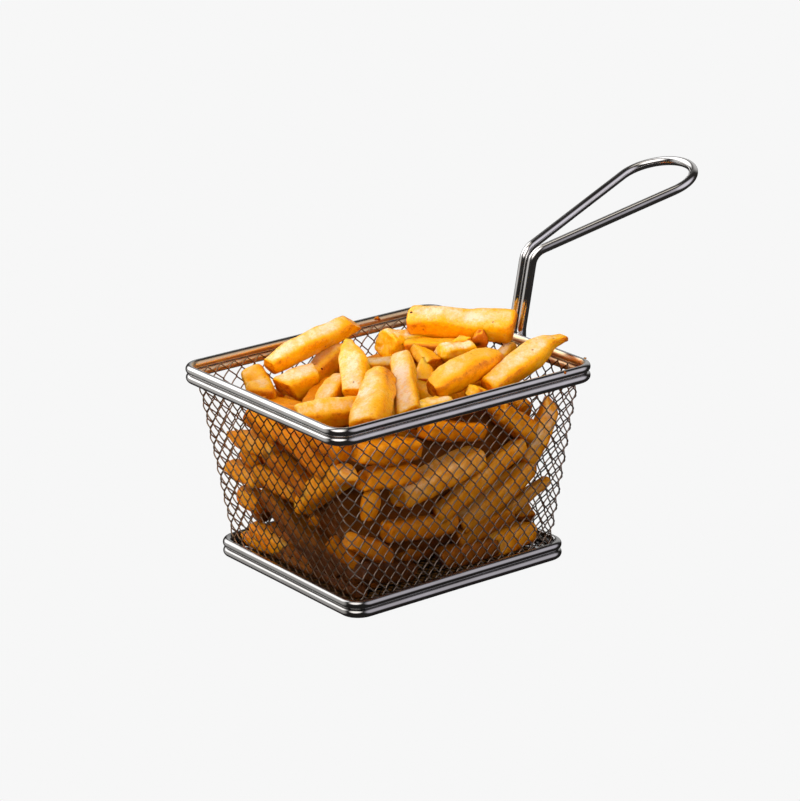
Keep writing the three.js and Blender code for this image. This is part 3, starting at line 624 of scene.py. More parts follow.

# ---------------------------------------------------------------- fries

# Each row: one end, the other end, width, thickness, roll, rise of the middle, tone from pale 0 to
# dark 1, how much of the section each end keeps, and the form where it isn't plain. Of the form,
# wide, deep, aloft, aside, tones and rough are lists of a place along the fry and its value there:
# share of the width and thickness, shift up and sideways, tone, and roughness. cut is the slant of
# the two ends, edge how round their edges are, square the section's power, bumps and burns single
# spots, toast and shade add to and scale the darkening, which is painted shade low in the heap and,
# where added, partly the fry's own browning, and reach moves the first end on, past the clearance
# to the walls.
TOP_FRIES = [
    ((-27, 31, 65.3), (9.5, 32, 72.8), 9, 8.8, 20, 1, 0.2, 1, 1, {
        "deep": ((0, 0.7), (0.1, 0.87), (0.4, 1.08), (0.75, 1.0), (0.9, 0.95), (1, 0.72)),
        "wide": ((0, 0.7), (0.15, 0.9), (0.5, 1.05), (1, 0.8)),
        "aloft": ((0, 0), (0.8, 0), (1, 0.9)),
        "tones": ((0, 0.35), (0.15, 0.1), (0.8, 0.05), (0.93, 0.3), (1, 0.4)),
        "cut": (0, -0.2, 0.3, -0.9), "edge": 0.1, "square": 2.5}),
    ((-31, 35.4, 63.2), (-35.6, 21.5, 58.2), 9.4, 8.5, 10, 0, 0.3, 0.85, 0.9, {
        "tones": ((0, 0.3), (0.3, 0.3), (0.45, 1.1), (0.6, 0.1), (0.75, 0.1), (0.9, 0.6)),
        "edge": 0.25, "toast": 0.33,
        "bumps": ((0.45, 110, 0.14, 38, -1.9), (0.68, 120, 0.12, 32, 0.8))}),
    ((-13.8, 22.3, 61.4), (-27, 22.3, 59.6), 9.6, 8.4, -6, 0, 0.2, 0.95, 0.9, {
        "cut": (0.3, -0.3, -0.2, 0.4), "edge": 0.12, "square": 4.5,
        "tones": ((0, 0.05), (0.8, 0.15), (1, 0.5)), "rough": ((0, 1.6), (1, 2.2))}),
    ((3.5, 28.5, 67), (-14, 26, 57.5), 8.6, 8, 0, 0, 0.45, 0.8, 0.8),
    ((-12.4, 10, 62.7), (-25.5, 3, 56.7), 7.6, 7.4, 0, 0, 0.3, 0.7, 0.9, {"toast": 0.25}),
    ((-3.1, 17.0, 72.8), (-17.3, -2.6, 61.8), 10.5, 7.5, 8, 0, 0.15, 1, 1, {
        "wide": ((0, 0.25), (0.2, 0.6), (0.45, 1.02), (0.75, 1.0), (1, 0.9)),
        "deep": ((0, 0.5), (0.3, 1), (0.8, 1), (1, 0.75)),
        "aside": ((0, -0.3), (0.2, 0.9), (0.45, 2.2), (0.75, 2.2), (1, 1.7)),
        "tones": ((0, 0.7), (0.25, 0.45), (0.42, 0.02), (0.8, 0.12), (1, 0.3)),
        "rough": ((0, 2.4), (0.3, 1.8), (0.45, 1)),
        "cut": (0, 0, 0.3, 0), "edge": 0.1, "square": 3.4}),
    ((-10, -11.8, 70), (-32, -31.8, 61), 11, 9, 16, 1, 0.2, 1, 1, {
        "wide": ((0, 0.72), (0.3, 0.95), (0.7, 1.05), (1, 1)),
        "deep": ((0, 0.8), (0.3, 1), (1, 0.95)),
        "tones": ((0, 0.75), (0.25, 0.4), (0.5, 0.1), (0.75, 0.35), (1, 0.35)),
        "rough": ((0, 2.6), (0.2, 2), (0.38, 1)), "cut": (0.25, 0.2, 0, 0), "edge": 0.12,
        "toast": 0.25, "square": 3.4,
        "bumps": ((0.08, 80, 0.06, 25, 0.7), (0.12, 130, 0.05, 20, 0.5), (0.2, 100, 0.05, 18, 0.5),
                  (0.55, 100, 0.12, 40, -0.5))}),
    ((-40, -4.6, 60), (-16, -13, 60), 8, 8, 40, 0, 0.2, 0.8, 0.8),
    ((1.5, -6.4, 71.8), (-13.4, -31, 60.6), 8.2, 7.8, 24, 0, 0.12, 1, 1, {
        "wide": ((0, 0.8), (0.2, 0.95), (1, 1.05)), "deep": ((0, 0.8), (0.3, 1), (1, 1)),
        "tones": ((0, 0.25), (0.3, 0.05), (1, 0.1)), "toast": 0.3,
        "cut": (0.2, 0, 0, 0), "edge": 0.12, "square": 4.2}),
    ((-7, 10, 66), (8, -3, 66), 6.5, 6, 0, 0, 0.3, 0.9, 0.9, {"toast": 0.4}),
    ((12, 17.8, 68.5), (30, 12.6, 67.5), 8.6, 8.2, 10, 0, 0.05, 1, 0.8, {
        "deep": ((0, 1.1), (0.2, 1), (0.35, 0.85), (0.6, 0.95), (1, 0.8)),
        "cut": (-0.4, 0.2, 0, 0), "edge": 0.1, "square": 4,
        "rough": ((0, 2.4), (0.3, 2.8), (0.6, 1.5)),
        "bumps": ((0.1, 250, 0.1, 30, 0.8), (0.3, 280, 0.1, 25, -0.7), (0.35, 200, 0.1, 30, 0.6))}),
    ((22.5, 17.2, 74.4), (47, -9.6, 74.2), 10, 9.6, 30, 0, 0.15, 1, 1, {
        "deep": ((0, 0.9), (0.1, 1.04), (0.35, 1.0), (0.56, 0.88), (0.7, 0.95), (1, 0.98)),
        "aloft": ((0, 0), (0.4, 0.1), (0.56, -0.6), (0.7, 0), (1, -0.3)),
        "cut": (0.1, -0.15, 0, 0.2), "edge": 0.22, "square": 3.4,
        "tones": ((0, 0.55), (0.2, 0.15), (0.8, 0.15), (1, 0.6)),
        "toast": 0.08, "bumps": ((0.06, 120, 0.04, 14, -0.4),)}),
    ((18, 13, 66.5), (34.5, -3, 66.5), 8, 9, 0, 0, 0.85, 0.9, 0.8),
    ((17, 8, 68.6), (15, -7, 66.5), 10, 5, -14, 0, 0.8, 1, 1, {
        "wide": ((0, 0.15), (1, 1.05)), "deep": ((0, 0.6), (0.3, 1), (1, 1)),
        "edge": 0.1, "square": 3.4, "toast": 0.15}),
    ((12, -3.5, 67.5), (6, -14, 63), 7, 5, -8, 0, 0.8, 1, 1, {
        "wide": ((0, 0.25), (0.5, 1), (1, 1)), "edge": 0.1, "square": 3.4, "toast": 0.12}),
    ((0, -24, 65), (31.5, -20.3, 69.4), 10, 9.4, 28, 1.6, 0.2, 1, 1, {
        "wide": ((0, 0.7), (0.1, 0.9), (0.3, 1), (0.75, 1), (0.92, 0.8), (1, 0.5)),
        "deep": ((0, 0.8), (0.12, 0.95), (0.4, 1), (0.75, 0.98), (0.92, 0.75), (1, 0.45)),
        "square": 2.6, "toast": 0.12,
        "tones": ((0, 0.8), (0.08, 0.65), (0.2, 0.4), (0.8, 0.45), (1, 0.6)),
        "rough": ((0, 3), (0.1, 2.4), (0.2, 1)),
        "bumps": ((0.04, 230, 0.05, 28, 1.0), (0.02, 300, 0.04, 20, 0.7),
                  (0.08, 190, 0.04, 18, 0.6))}),
    ((18, -4, 69), (30, -9, 69.5), 6.5, 6, 15, 0, 0.1, 0.9, 0.9, {
        "rough": ((0, 3.2), (1, 2.6)), "edge": 0.15}),
    ((27, -1, 69.5), (30, -6, 71), 5, 5, 0, 0, 0.55, 0.8, 0.6, {"rough": ((0, 2), (1, 2))}),
    ((36.5, -3, 66), (34.8, -6, 73.6), 5.5, 5, 0, 0, 1.3, 0.9, 0.35, {
        "burns": ((0.62, 250, 0.1, 30),), "rough": ((0, 1.5), (1, 1.5))}),
    ((19, -30, 62.5), (53.4, -28.3, 73.9), 10, 9, 26, 1.0, 0.2, 1, 1, {
        "wide": ((0, 0.85), (0.4, 1), (0.62, 0.92), (0.76, 0.7), (0.84, 0.54), (1, 0.4)),
        "deep": ((0, 0.9), (0.4, 1), (0.6, 0.97), (0.74, 0.76), (0.82, 0.58), (1, 0.38)),
        "aloft": ((0, 0), (0.6, 0.2), (0.8, 1.1), (1, -0.4)), "edge": 0.15,
        "tones": ((0, 0.45), (0.3, 0.15), (0.7, 0.1), (0.85, 0.4), (1, 0.95)), "toast": 0.12,
        "cut": (0, 0, 0, -0.3)}),
    ((22, -27, 59.5), (37, -22, 60), 8, 8, 0, 0, 0.6, 0.8, 0.8, {
        "rough": ((0, 2.6), (1, 2)), "toast": 0.3}),
    ((30, -14, 60), (48, -9, 68), 5.5, 5, 0, 0, 0.3, 0.8, 0.6, {"toast": 0.3}),
    ((10, -32, 65), (24, -33, 55), 6.5, 6, 0, 0, 0.5, 0.6, 0.8, {"rough": ((0, 2.8), (1, 2))}),
    ((-11, -30, 62), (3, -33, 62), 6.5, 6, 0, 0, 0.3, 0.8, 0.8, {"rough": ((0, 2), (1, 3))}),
    ((3, -10, 62), (4, -28, 58), 8, 8, 0, 0, 0.85, 0.8, 0.8, {"toast": 0.3}),
    ((-5, -9, 64), (-20, -28, 57), 7, 7, 0, 0, 0.7, 0.8, 0.8, {"toast": 0.3}),
]
# A row of five is a plain fry: one end, the other end, width, thickness and tone.
WALL_FRIES = [
    # behind the short wall on the -X side
    ((-42, 35, 43.4), (-40, 6, 45), 8, 7.5, 0, 0, 0.15, 1, 0.9, {
        "reach": 2,
        "wide": ((0, 0.15), (0.2, 0.6), (0.45, 1), (1, 1)),
        "deep": ((0, 0.2), (0.2, 0.65), (0.45, 1), (1, 1))}),
    ((-43, 21, 55.4), (-41, 4, 50), 7, 7, 0, 0, 0.55, 0.7, 0.8),
    ((-40.4, 38, 31.8), (-40, 18, 30.5), 6, 5.5, 0, 0, 0.25, 0.7, 0.9, {
        "reach": 2, "shade": 0.1}),
    ((-41, 25, 41), (-39, 18, 36), 7, 7, 0.75),
    ((-41, 41, 22.2), (-39.5, 21, 20.5), 8, 6.5, 0, 0, 0.3, 0.6, 0.9, {
        "reach": 2, "shade": 0.1, "cut": (-0.5, 0.3, 0, 0)}),
    ((-38.5, 28.5, 10.2), (-37.5, 6, 8.5), 7, 6.5, 0, 0, 0.3, 0.85, 0.8, {"shade": 0}),
    ((-37, 36, 6), (-37, 14, 5.5), 5, 4.5, 0, 0, 0.3, 0.7, 0.8, {"reach": 1, "shade": 0}),
    ((-40, -4, 28.5), (-42.9, -34.5, 49.5), 8.5, 8.5, -10, 1, 0.0, 0.75, 0.8, {"shade": 0.0}),
    ((-39.5, 19, 27), (-36, -21, 6.5), 9, 8, 0, 0, 0.75, 0.8, 0.8, {"toast": 0.25}),
    ((-39, 15, 6), (-39, -10, 6), 5.5, 4.5, 0.7),
    ((-39, -8, 6), (-38, -33, 6), 5.5, 4.5, 0, 0, 0.8, 0.8, 0.8, {"toast": 0.3}),
    ((-38, 8, 22), (-35, -31, 8), 6.5, 6, 0, 0, 0.85, 0.8, 0.8, {"toast": 0.25}),
    ((-35, 19, 13), (-34, -14, 6.5), 6.5, 6, 0.85),
    ((-40.5, 19, 35), (-40, -3, 32), 7, 6.5, -12, 0, 0.4, 0.8, 0.8),
    ((-42, 0, 54), (-41, -24, 46), 8, 7, 0.75),
    ((-41, 11, 43), (-39, -11, 35), 8, 7, 0, 0, 0.85, 0.8, 0.8, {"toast": 0.2}),
    ((-43, -15, 57), (-42, -34, 56), 7, 7, 0.7),
    ((-37.5, 14, 8), (-36, -10, 7.5), 7, 6.5, 0.85),
    ((-37, -6, 8.5), (-33, -31, 7.5), 7, 6.5, 0, 0, 0.85, 0.8, 0.7, {"toast": 0.25}),
    ((-38, -18, 20), (-30, -33, 7), 6.5, 6.5, 0, 0, 0.75, 0.8, 0.6),
    # behind the long wall on the -Y side
    ((-38, -35, 55), (-13, -34, 51), 8.5, 8, 0.4),
    ((-36, -34, 45), (-14, -33, 43), 8, 7, 0.5),
    ((-21, -33, 35), (12, -33, 42), 11, 9, 0, 1, 0.0, 0.8, 0.8),
    ((-5, -32, 24), (30, -33, 42), 8, 7, 0.2),
    ((5, -32, 19), (34, -33, 33), 8, 7, 0.2),
    ((19, -35, 57), (38, -32, 42), 9, 8, 0.1),
    ((45, -36, 54), (33, -32, 34), 8.5, 7, 0, 0, -0.1, 0.8, 0.8, {"shade": 0.3}),
    ((43, -34, 27), (19, -31, 15), 4.5, 4, 0, 0, 0.2, 0.7, 0.8),
    ((15, -32, 8), (39, -32, 9), 9.5, 9, 0, 0, 0.2, 0.8, 0.8, {"shade": 0.45}),
    ((-4, -32, 9), (21, -32, 8), 8, 7.5, 0.9),
    ((-26, -32, 24), (3, -32, 20), 9.5, 8, 0.5),
    ((-36, -31, 13), (-15, -32, 6.5), 8, 8, 0, 0, 0.55, 0.8, 0.8, {"toast": 0.3}),
    ((-31, -32, 40), (-32, -31, 30), 6, 6, 0, 0, 0.35, 0.7, 0.7),
    ((-39, -30, 24), (-24, -31, 15), 7, 7, 0.6),
    ((-12, -35, 57), (12, -34, 51), 8, 7, 0.55),
    ((3, -31, 14), (26, -31, 18), 8, 7, 0.6),
    # against the far long wall
    ((-30, 40, 53), (3, 40, 47), 8, 7.5, 0.4),
    ((0, 40, 55), (31, 40, 52), 8, 7, 0.3),
    ((26, 40, 41), (44, 40, 52), 8.5, 8, 0.45),
    ((-35, 40, 38), (-11, 40, 45), 8, 8, 0.3),
    ((-15, 40, 33), (24, 40, 45), 9, 8, 0.35),
    ((13, 40, 35), (42, 40, 32), 8.5, 8, 0.5),
    ((-36, 40, 30), (-16, 40, 24), 8, 7.5, 0.4),
    ((-12, 40, 18), (19, 40, 31), 9, 8, 0.3),
    ((18, 40, 17), (41, 40, 25), 8, 8, 0.5),
    ((-34, 40, 13), (-14, 40, 19), 8, 7.5, 0.5),
    ((-12, 40, 9), (22, 40, 15), 8, 8, 0.4),
    ((21, 40, 11), (39, 40, 7), 7.5, 7.5, 0.5),
    # against the short wall beside the handle
    ((46, -22, 48), (46, 6, 54), 8, 7.5, 0.35),
    ((46, 0, 44), (46, 33, 54), 8.5, 8, 0.3),
    ((46, 34, 45), (46, 12, 34), 8, 8, 0.45),
    ((46, -27, 37), (46, 2, 41), 8.5, 8, 0.35),
    ((46, -6, 34), (46, 20, 28), 8, 7.5, 0.5),
    ((46, 35, 34), (46, 21, 20), 8, 7.5, 0.35),
    ((46, -28, 30), (46, -5, 24), 8, 8, 0.45),
    ((46, -9, 18), (46, 17, 22), 8, 7.5, 0.4),
    ((46, -28, 12), (46, -10, 19), 8, 8, 0.5),
    ((46, -6, 9), (46, 29, 14), 8.5, 8, 0.4),
    # on top, between the crown and the far walls
    ((13, 34, 55), (44, 27, 58), 8, 7, 0.3),
    ((42, 20, 58), (43, -8, 61), 7.5, 7, 0.4),
    ((34, 24, 60), (12, 27, 58), 7, 6, 0.4),
    ((-8, 26, 53), (15, 32, 50), 8, 7, 0.5),
    ((-6, 13, 60), (20, 22, 58), 8, 7, 0.5),
    ((30, 12, 57), (45, 8, 54), 8, 7, 0.5),
    ((2, 2, 61), (18, 14, 61), 8, 7, 0.6),
    ((-26, 20, 55), (-8, 30, 51), 8, 7, 0.6),
    ((22, 20, 59), (40, 4, 60), 7.5, 7, 0.5),
    ((-34, 27, 54), (-30, 4, 56), 8, 8, 0.6),
    ((-28, 6, 57), (-8, 20, 57), 8, 8, 0.6),
    ((-24, -8, 57), (-6, 4, 60), 8, 7, 0.7),
    ((18, -14, 58), (40, -12, 58), 8, 8, 0.7),
    ((-4, 20, 58), (4, 2, 62), 7, 7, 0.7),
]
FILL_TRIES = 7000
FILL_SEED = 11
FILL_HALF = (36, 29)
FILL_LEVELS = (8, 58)
FILL_REACH = (11, 21)  # half a filling fry's length
FILL_SIZE = (5.5, 8.5)
FILL_PRESS = 2.2  # how far it may press into its neighbours
PLAIN = {}  # the form of a plain fry


def keep_inside(point, radius):
    """Moves a point inwards until a fry of that radius clears the walls and the floor."""
    p = np.array(point, float)
    p[2] = max(p[2], FLOOR_CLEARANCE + radius)
    if p[2] - radius > RIM_LEVELS[0] + FRAME_RADIUS:
        return p
    half = wall_half(max(p[2] - radius, MESH_FOOT[0]))
    corner = max(MESH_CORNER - FRY_CLEARANCE, radius + 0.01)
    limit = np.array(half) - FRY_CLEARANCE - corner
    beyond = np.maximum(np.abs(p[:2]) - limit, 0)
    spare, reach = corner - radius, np.linalg.norm(beyond)
    if reach > spare:
        beyond *= spare / reach
    for axis in (0, 1):
        if abs(p[axis]) > limit[axis]:
            p[axis] = math.copysign(limit[axis] + beyond[axis], p[axis])
    return p


def placed_fry(row):
    """A full row with its ends moved inside the basket."""
    if len(row) == 5:
        row = (*row[:4], 0, 0, row[4], 0.8, 0.8)
    start, end, width, thickness, *rest = row
    radius = max(width, thickness) / 2
    start, end = keep_inside(start, radius), keep_inside(end, radius)
    form = rest[-1] if isinstance(rest[-1], dict) else PLAIN
    start = start + form.get("reach", 0) * unit(start - end)
    return (start, end, width, thickness, *rest)


def segment_distances(a, b, starts, ends):
    """Least distances between the segment a-b and many others."""
    best = np.full(len(starts), 1e9)
    along = np.linspace(0, 1, 9)[:, None]
    other = ends - starts
    length = (other * other).sum(1)
    for p in a + (b - a) * along:
        t = np.clip(((p - starts) * other).sum(1) / length, 0, 1)
        best = np.minimum(best, np.linalg.norm(starts + other * t[:, None] - p, axis=1))
    return best


def filling_fries(placed):
    """Fries at random inside the heap, each nearly clear of the ones before it."""
    rng = np.random.RandomState(FILL_SEED)
    starts = [f[0] for f in placed]
    ends = [f[1] for f in placed]
    sizes = [f[3] for f in placed]
    found = []
    for _ in range(FILL_TRIES):
        middle = rng.uniform(-1, 1, 3) * [*FILL_HALF, 0.5]
        middle[2] = FILL_LEVELS[0] + (FILL_LEVELS[1] - FILL_LEVELS[0]) * rng.rand()
        heading, slope = rng.uniform(0, math.pi), rng.uniform(-0.6, 0.6)
        reach = rng.uniform(*FILL_REACH) * np.array(
            [math.cos(heading) * math.cos(slope), math.sin(heading) * math.cos(slope),
             math.sin(slope)])
        size = rng.uniform(*FILL_SIZE)
        tone = rng.uniform(0.4, 0.9)
        a, b = middle - reach, middle + reach
        inside = all(abs(p[0]) < FILL_HALF[0] + 2 and abs(p[1]) < FILL_HALF[1] + 2 and
                      FILL_LEVELS[0] < p[2] < FILL_LEVELS[1] + 3 for p in (a, b))
        if not inside:
            continue
        gap = segment_distances(a, b, np.array(starts), np.array(ends))
        if (gap < (np.array(sizes) + size) / 2 - FILL_PRESS).any():
            continue
        starts.append(a)
        ends.append(b)
        sizes.append(size)
        found.append((a, b, size, size * 0.93, 0, 0, tone, 0.8, 0.8))
    return found


def along(stations, t, fallback):
    """A value along a fry, eased between the stations of a list."""
    if not stations:
        return np.full_like(t, fallback)
    places, values = zip(*stations)
    fine = np.linspace(0, 1, 81)
    line = np.interp(fine, places, values)
    padded = np.concatenate([np.full(4, line[0]), line, np.full(4, line[-1])])
    eased = np.convolve(padded, np.hanning(11)[1:-1] / np.hanning(11).sum(), "valid")
    return np.interp(t, fine, eased)


def cut_end(edge):
    """Rings at an end: distance from it, share of the section and how far that is drawn in."""
    flat = [(0.0, 0.0, 0.0), (0.0, 0.3, 0.0), (0.02, 0.55, edge), (0.04, 0.78, edge),
            (0.06, 1.0, edge)]
    curve = [(0.06 + edge * (1 - math.cos(a)), 1.0, edge * (1 - math.sin(a)))
             for a in np.radians((25, 50, 72, 90))]
    return flat + curve


def fry_shape(fry, sides, step, seed, relief):
    """Points, faces and colour data of one fry: a bar with soft edges, cut ends and blisters."""
    start, end, width, thickness, roll, rise, tone, taper_a, taper_b, *rest = fry
    form = rest[0] if rest else PLAIN
    rng = np.random.RandomState(seed)
    span = end - start
    length = float(np.linalg.norm(span))
    axis = span / length
    level = unit(np.cross([0, 0, 1.0], axis))
    above = np.cross(axis, level)
    near, far = [
        cut_end(form.get("edge", 0.15) * min(width * along(form.get("wide"), at, 1)[0] * taper,
                                            thickness * along(form.get("deep"), at, 1)[0] * taper))
        for at, taper in ((np.zeros(1), taper_a), (np.ones(1), taper_b))]
    inner, outer = near[-1][0], length - far[-1][0]
    count = max(int((outer - inner) / step), 3)
    body = [(inner + (outer - inner) * k / count, 1.0, 0.0) for k in range(1, count)]
    rows = np.array(near + body + [(length - d, k, i) for d, k, i in reversed(far)])
    d, k, inset = rows.T
    t = d / length
    angle = (np.arange(sides) + 0.5) * TAU / sides
    c, s = np.cos(angle), np.sin(angle)
    power = form.get("square", rng.uniform(3.2, 4.6))
    narrow = (1 - (1 - taper_a) * np.clip(1 - t / TAPER_SHARE, 0, 1) ** 1.5 -
              (1 - taper_b) * np.clip(1 - (1 - t) / TAPER_SHARE, 0, 1) ** 1.5)
    waves = [np.sin(TAU * (t * rng.uniform(0.5, 1.2) + rng.rand())) for _ in range(2)]
    wide = narrow * along(form.get("wide"), t, 1) * (1 + 0.06 * waves[0])
    deep = narrow * along(form.get("deep"), t, 1) * (1 + 0.06 * waves[1])
    half_w = (wide * width / 2)[:, None]
    half_t = (deep * thickness / 2)[:, None]
    radius = ((np.abs(c) / half_w) ** power + (np.abs(s) / half_t) ** power) ** (-1 / power)
    from_end = np.minimum(d, length - d)[:, None]
    radius *= 1 - 0.05 * (0.5 + 0.5 * np.cos(4 * angle)) * np.clip(from_end / 5, 0, 1)
    radius = np.maximum(radius * k[:, None] - (inset * np.minimum(k, 1))[:, None], 0)
    u, v = radius * c, radius * s
    u = u + rng.uniform(-0.2, 0.2) * v
    twist = np.radians(roll + rng.uniform(-8, 8) + rng.uniform(-12, 12) * (t - 0.5))[:, None]
    u, v = u * np.cos(twist) - v * np.sin(twist), u * np.sin(twist) + v * np.cos(twist)
    slants = form.get("cut") or rng.uniform(-0.45, 0.45, 4)
    fade_a = np.clip(1 - d / (SLANT_SHARE * length), 0, 1)[:, None] ** 1.5
    fade_b = np.clip(1 - (length - d) / (SLANT_SHARE * length), 0, 1)[:, None] ** 1.5
    shift = fade_a * (slants[0] * u + slants[1] * v) + fade_b * (slants[2] * u + slants[3] * v)
    arch = 4 * t * (1 - t)
    aloft = arch * rise + along(form.get("aloft"), t, 0)
    aside = arch * rng.uniform(-0.6, 0.6) + along(form.get("aside"), t, 0)
    middle = start + np.outer(d, axis) + np.outer(aloft, above) + np.outer(aside, level)
    points = (middle[:, None] + u[..., None] * level + v[..., None] * above +
              shift[..., None] * axis)
    normal = unit(np.cross(np.roll(points, -1, 1) - np.roll(points, 1, 1),
                           np.gradient(points, axis=0)))
    flat = points.reshape(-1, 3)
    bumps = 0.42 * lattice_noise(flat, 6.5, seed) + 0.20 * lattice_noise(flat, 2.6, seed + 1)
    blister = np.clip(lattice_noise(flat, 4.0, seed + 2) + 0.2, 0, 1)
    blister = blister * (0.20 * lattice_noise(flat, 1.0, seed + 3) +
                         0.10 * lattice_noise(flat, 0.5, seed + 4))
    rough = along(form.get("rough"), t, 1)[:, None]
    lumps = 0.26 * lattice_noise(flat, 1.5, seed + 5) + 0.16 * lattice_noise(flat, 0.9, seed + 6)
    lift = relief * (bumps + blister).reshape(len(rows), sides)
    lift += (rough - 1) * lumps.reshape(len(rows), sides)
    for place, turn, reach_t, reach_turn, height in form.get("bumps", ()):
        lift += height * spot(t, angle, place, turn, reach_t, reach_turn)
    points = points + normal * (lift * np.clip(k, 0, 1)[:, None])[..., None]
    points[0] = points[0].mean(0)
    points[-1] = points[-1].mean(0)
    corner = (0.5 - 0.5 * np.cos(4 * angle)) ** 2
    tip = np.clip(1 - from_end / 1.6, 0, 1) * np.clip(k * 2 - 1, 0, 1)[:, None]
    edge_share = np.maximum(corner[None], tip)
    height = points[..., 2]
    # painted shade: darker with depth below LIT_ABOVE, scaled by shade, plus each fry's added
    # darkening, partly its own browning and partly painted shade
    depth = np.clip((LIT_ABOVE - height) / LIT_ABOVE, 0, 1)
    depth = depth * form.get("shade", 1) + form.get("toast", 0)
    tones = np.broadcast_to(along(form.get("tones"), t, tone)[:, None], height.shape)
    burnt = np.zeros_like(height)
    for place, turn, reach_t, reach_turn in form.get("burns", ()):
        burnt += spot(t, angle, place, turn, reach_t, reach_turn)
    colours = np.stack([tones, edge_share, depth, np.clip(burnt * 1.6, 0, 1)], -1)
    return points.reshape(-1, 3), grid_faces(len(rows), sides), colours.reshape(-1, 4)


def spot(t, angle, place, turn, reach_t, reach_turn):
    """A soft round spot at a place along a fry and an angle round it, from 0 to 1."""
    away = (angle - math.radians(turn) + math.pi) % TAU - math.pi
    return np.exp(-((t[:, None] - place) / reach_t) ** 2 -
                  (away[None] / math.radians(reach_turn)) ** 2)


def fries_piece(name, fries, potato, sides, step, seed, relief, replaced):
    parts = [fry_shape(f, sides, step, seed + 7 * i, relief) for i, f in enumerate(fries)]
    points, faces = joined([(p, f) for p, f, _ in parts])
    colours = np.concatenate([c for _, _, c in parts])
    return make_piece(name, points, faces, potato, "fried_potato", replaced, colours)


top = [placed_fry(row) for row in TOP_FRIES]
wall = [placed_fry(row) for row in WALL_FRIES]
fill = filling_fries(top + wall)
fries_piece("Fries_top", top, CROWN_POTATO, 36, 0.75, 100, 1.0, ["fries"])
fries_piece("Fries_walls", wall, SHADED_WALL_POTATO, 26, 1.1, 900, 1.0, ["fries"])
fries_piece("Fries_inside", fill, SHADED_WALL_POTATO, 14, 2.2, 2000, 0.8, ["fries"])


CORE_INSET = 9.5
CORE_LEVELS = (6.5, 55.0)
CORE_FALL = 5.0  # how much lower its top is towards the far long wall


def core():
    """The middle of the heap, deep between the fries."""
    rings, sides = 30, 90
    low, high = CORE_LEVELS
    angle = np.arange(sides) * TAU / sides
    c, s = np.cos(angle), np.sin(angle)
    outline = (np.abs(c) ** 7 + np.abs(s) ** 7) ** (-1 / 7)
    points = []
    for level in np.linspace(0, 1, rings):
        z = low + (high - low) * level
        close = (1 - abs(2 * level - 1) ** 10) ** 0.5
        half_x, half_y = (h - CORE_INSET for h in wall_half(z))
        ring = np.stack([outline * c * half_x * close, outline * s * half_y * close,
                         np.full(sides, z)], 1)
        ring[:, 2] -= CORE_FALL * level * np.clip((ring[:, 1] - 8) / 22, 0, 1)
        points.append(ring)
    points = np.concatenate(points)
    points += 1.6 * np.stack([lattice_noise(points, 7, n) for n in (5, 6, 7)], 1)
    # painted shade: dark tone and depth 0.9, for the middle of the heap that light barely reaches
    colours = np.tile([0.9, 0.2, 0.9, 0.0], (len(points), 1))
    make_piece("Fries_core", points, grid_faces(rings, sides), SHADED_WALL_POTATO, "fried_potato",
               ["fries"], colours)


core()

# Browned crumbs, stuck to the upper rim wire and to three fries.
CRUMBS = [
    ((26.9, 43.4, 68.5), (28.3, 43.3, 68.4), 1.3, 1.1, 0, 0, 1.2, 0.8, 0.8),
    ((28.0, 43.2, 67.9), (28.8, 43.2, 67.7), 0.8, 0.8, 0, 0, 1.4, 0.8, 0.8),
    ((38.9, -45.7, 68.4), (39.6, -45.8, 68.2), 1.2, 1.0, 0, 0, 1.3, 0.8, 0.8),
    ((53.3, -39.0, 68.6), (53.5, -38.2, 68.6), 0.9, 0.8, 0, 0, 1.2, 0.8, 0.8),
    ((20.9, 15.0, 78.3), (21.5, 14.2, 78.5), 1.0, 0.9, 0, 0, 2.0, 0.7, 0.7, {"toast": 0.9}),
    ((-7.4, -24.1, 68.2), (-7.7, -25.4, 67.3), 0.7, 0.7, 0, 0, 2.0, 0.6, 0.6, {"toast": 0.9}),
    ((-14.0, 18.6, 64.9), (-13.5, 18.7, 65.0), 0.9, 0.9, 0, 0, 2.0, 0.7, 0.7, {"toast": 1}),
]
crumbs = [(np.array(row[0]), np.array(row[1]), *row[2:]) for row in CRUMBS]
fries_piece("Fry_crumbs", crumbs, SHADED_WALL_POTATO, 12, 0.25, 50, 0.6, [])

# ---------------------------------------------------------------- studio

# SHADE is a painted shadow: a dark patch on the floor below the basket
PALE, SHADE = (0.93, 0.93, 0.93, 1), (0.035, 0.014, 0.003, 1)
FLOOR_REACH = 6.0
SHADE_HALF = (0.043, 0.038)  # the shaded ground below the mesh floor, in metres
SHADE_SHIFT = 0.002  # how far it lies towards the far walls
SHADE_SOFTNESS = 0.006

# Where soft light comes from in the steel: direction, full and fading angles in degrees,
# brightness and colour.
PANELS = [
    ((-0.19, 0.762, 0.62), 17, 34, 1.9, (1, 1, 1)),
    ((-0.60, 0.74, 0.05), 12, 44, 0.55, (1, 0.98, 0.96)),
    ((0.56, -0.70, 0.44), 14, 42, 0.72, (0.93, 0.90, 1)),
    ((-0.55, -0.30, 0.78), 14, 34, 1.9, (1, 0.96, 0.93)),
    ((0.05, 0.10, 1.0), 5, 15, 0.9, (1, 0.93, 0.82)),
    ((0.75, 0.60, 0.25), 8, 30, 0.5, (1, 1, 1)),
]
STUDIO_DARK = (0.022, 0.020, 0.019, 1)
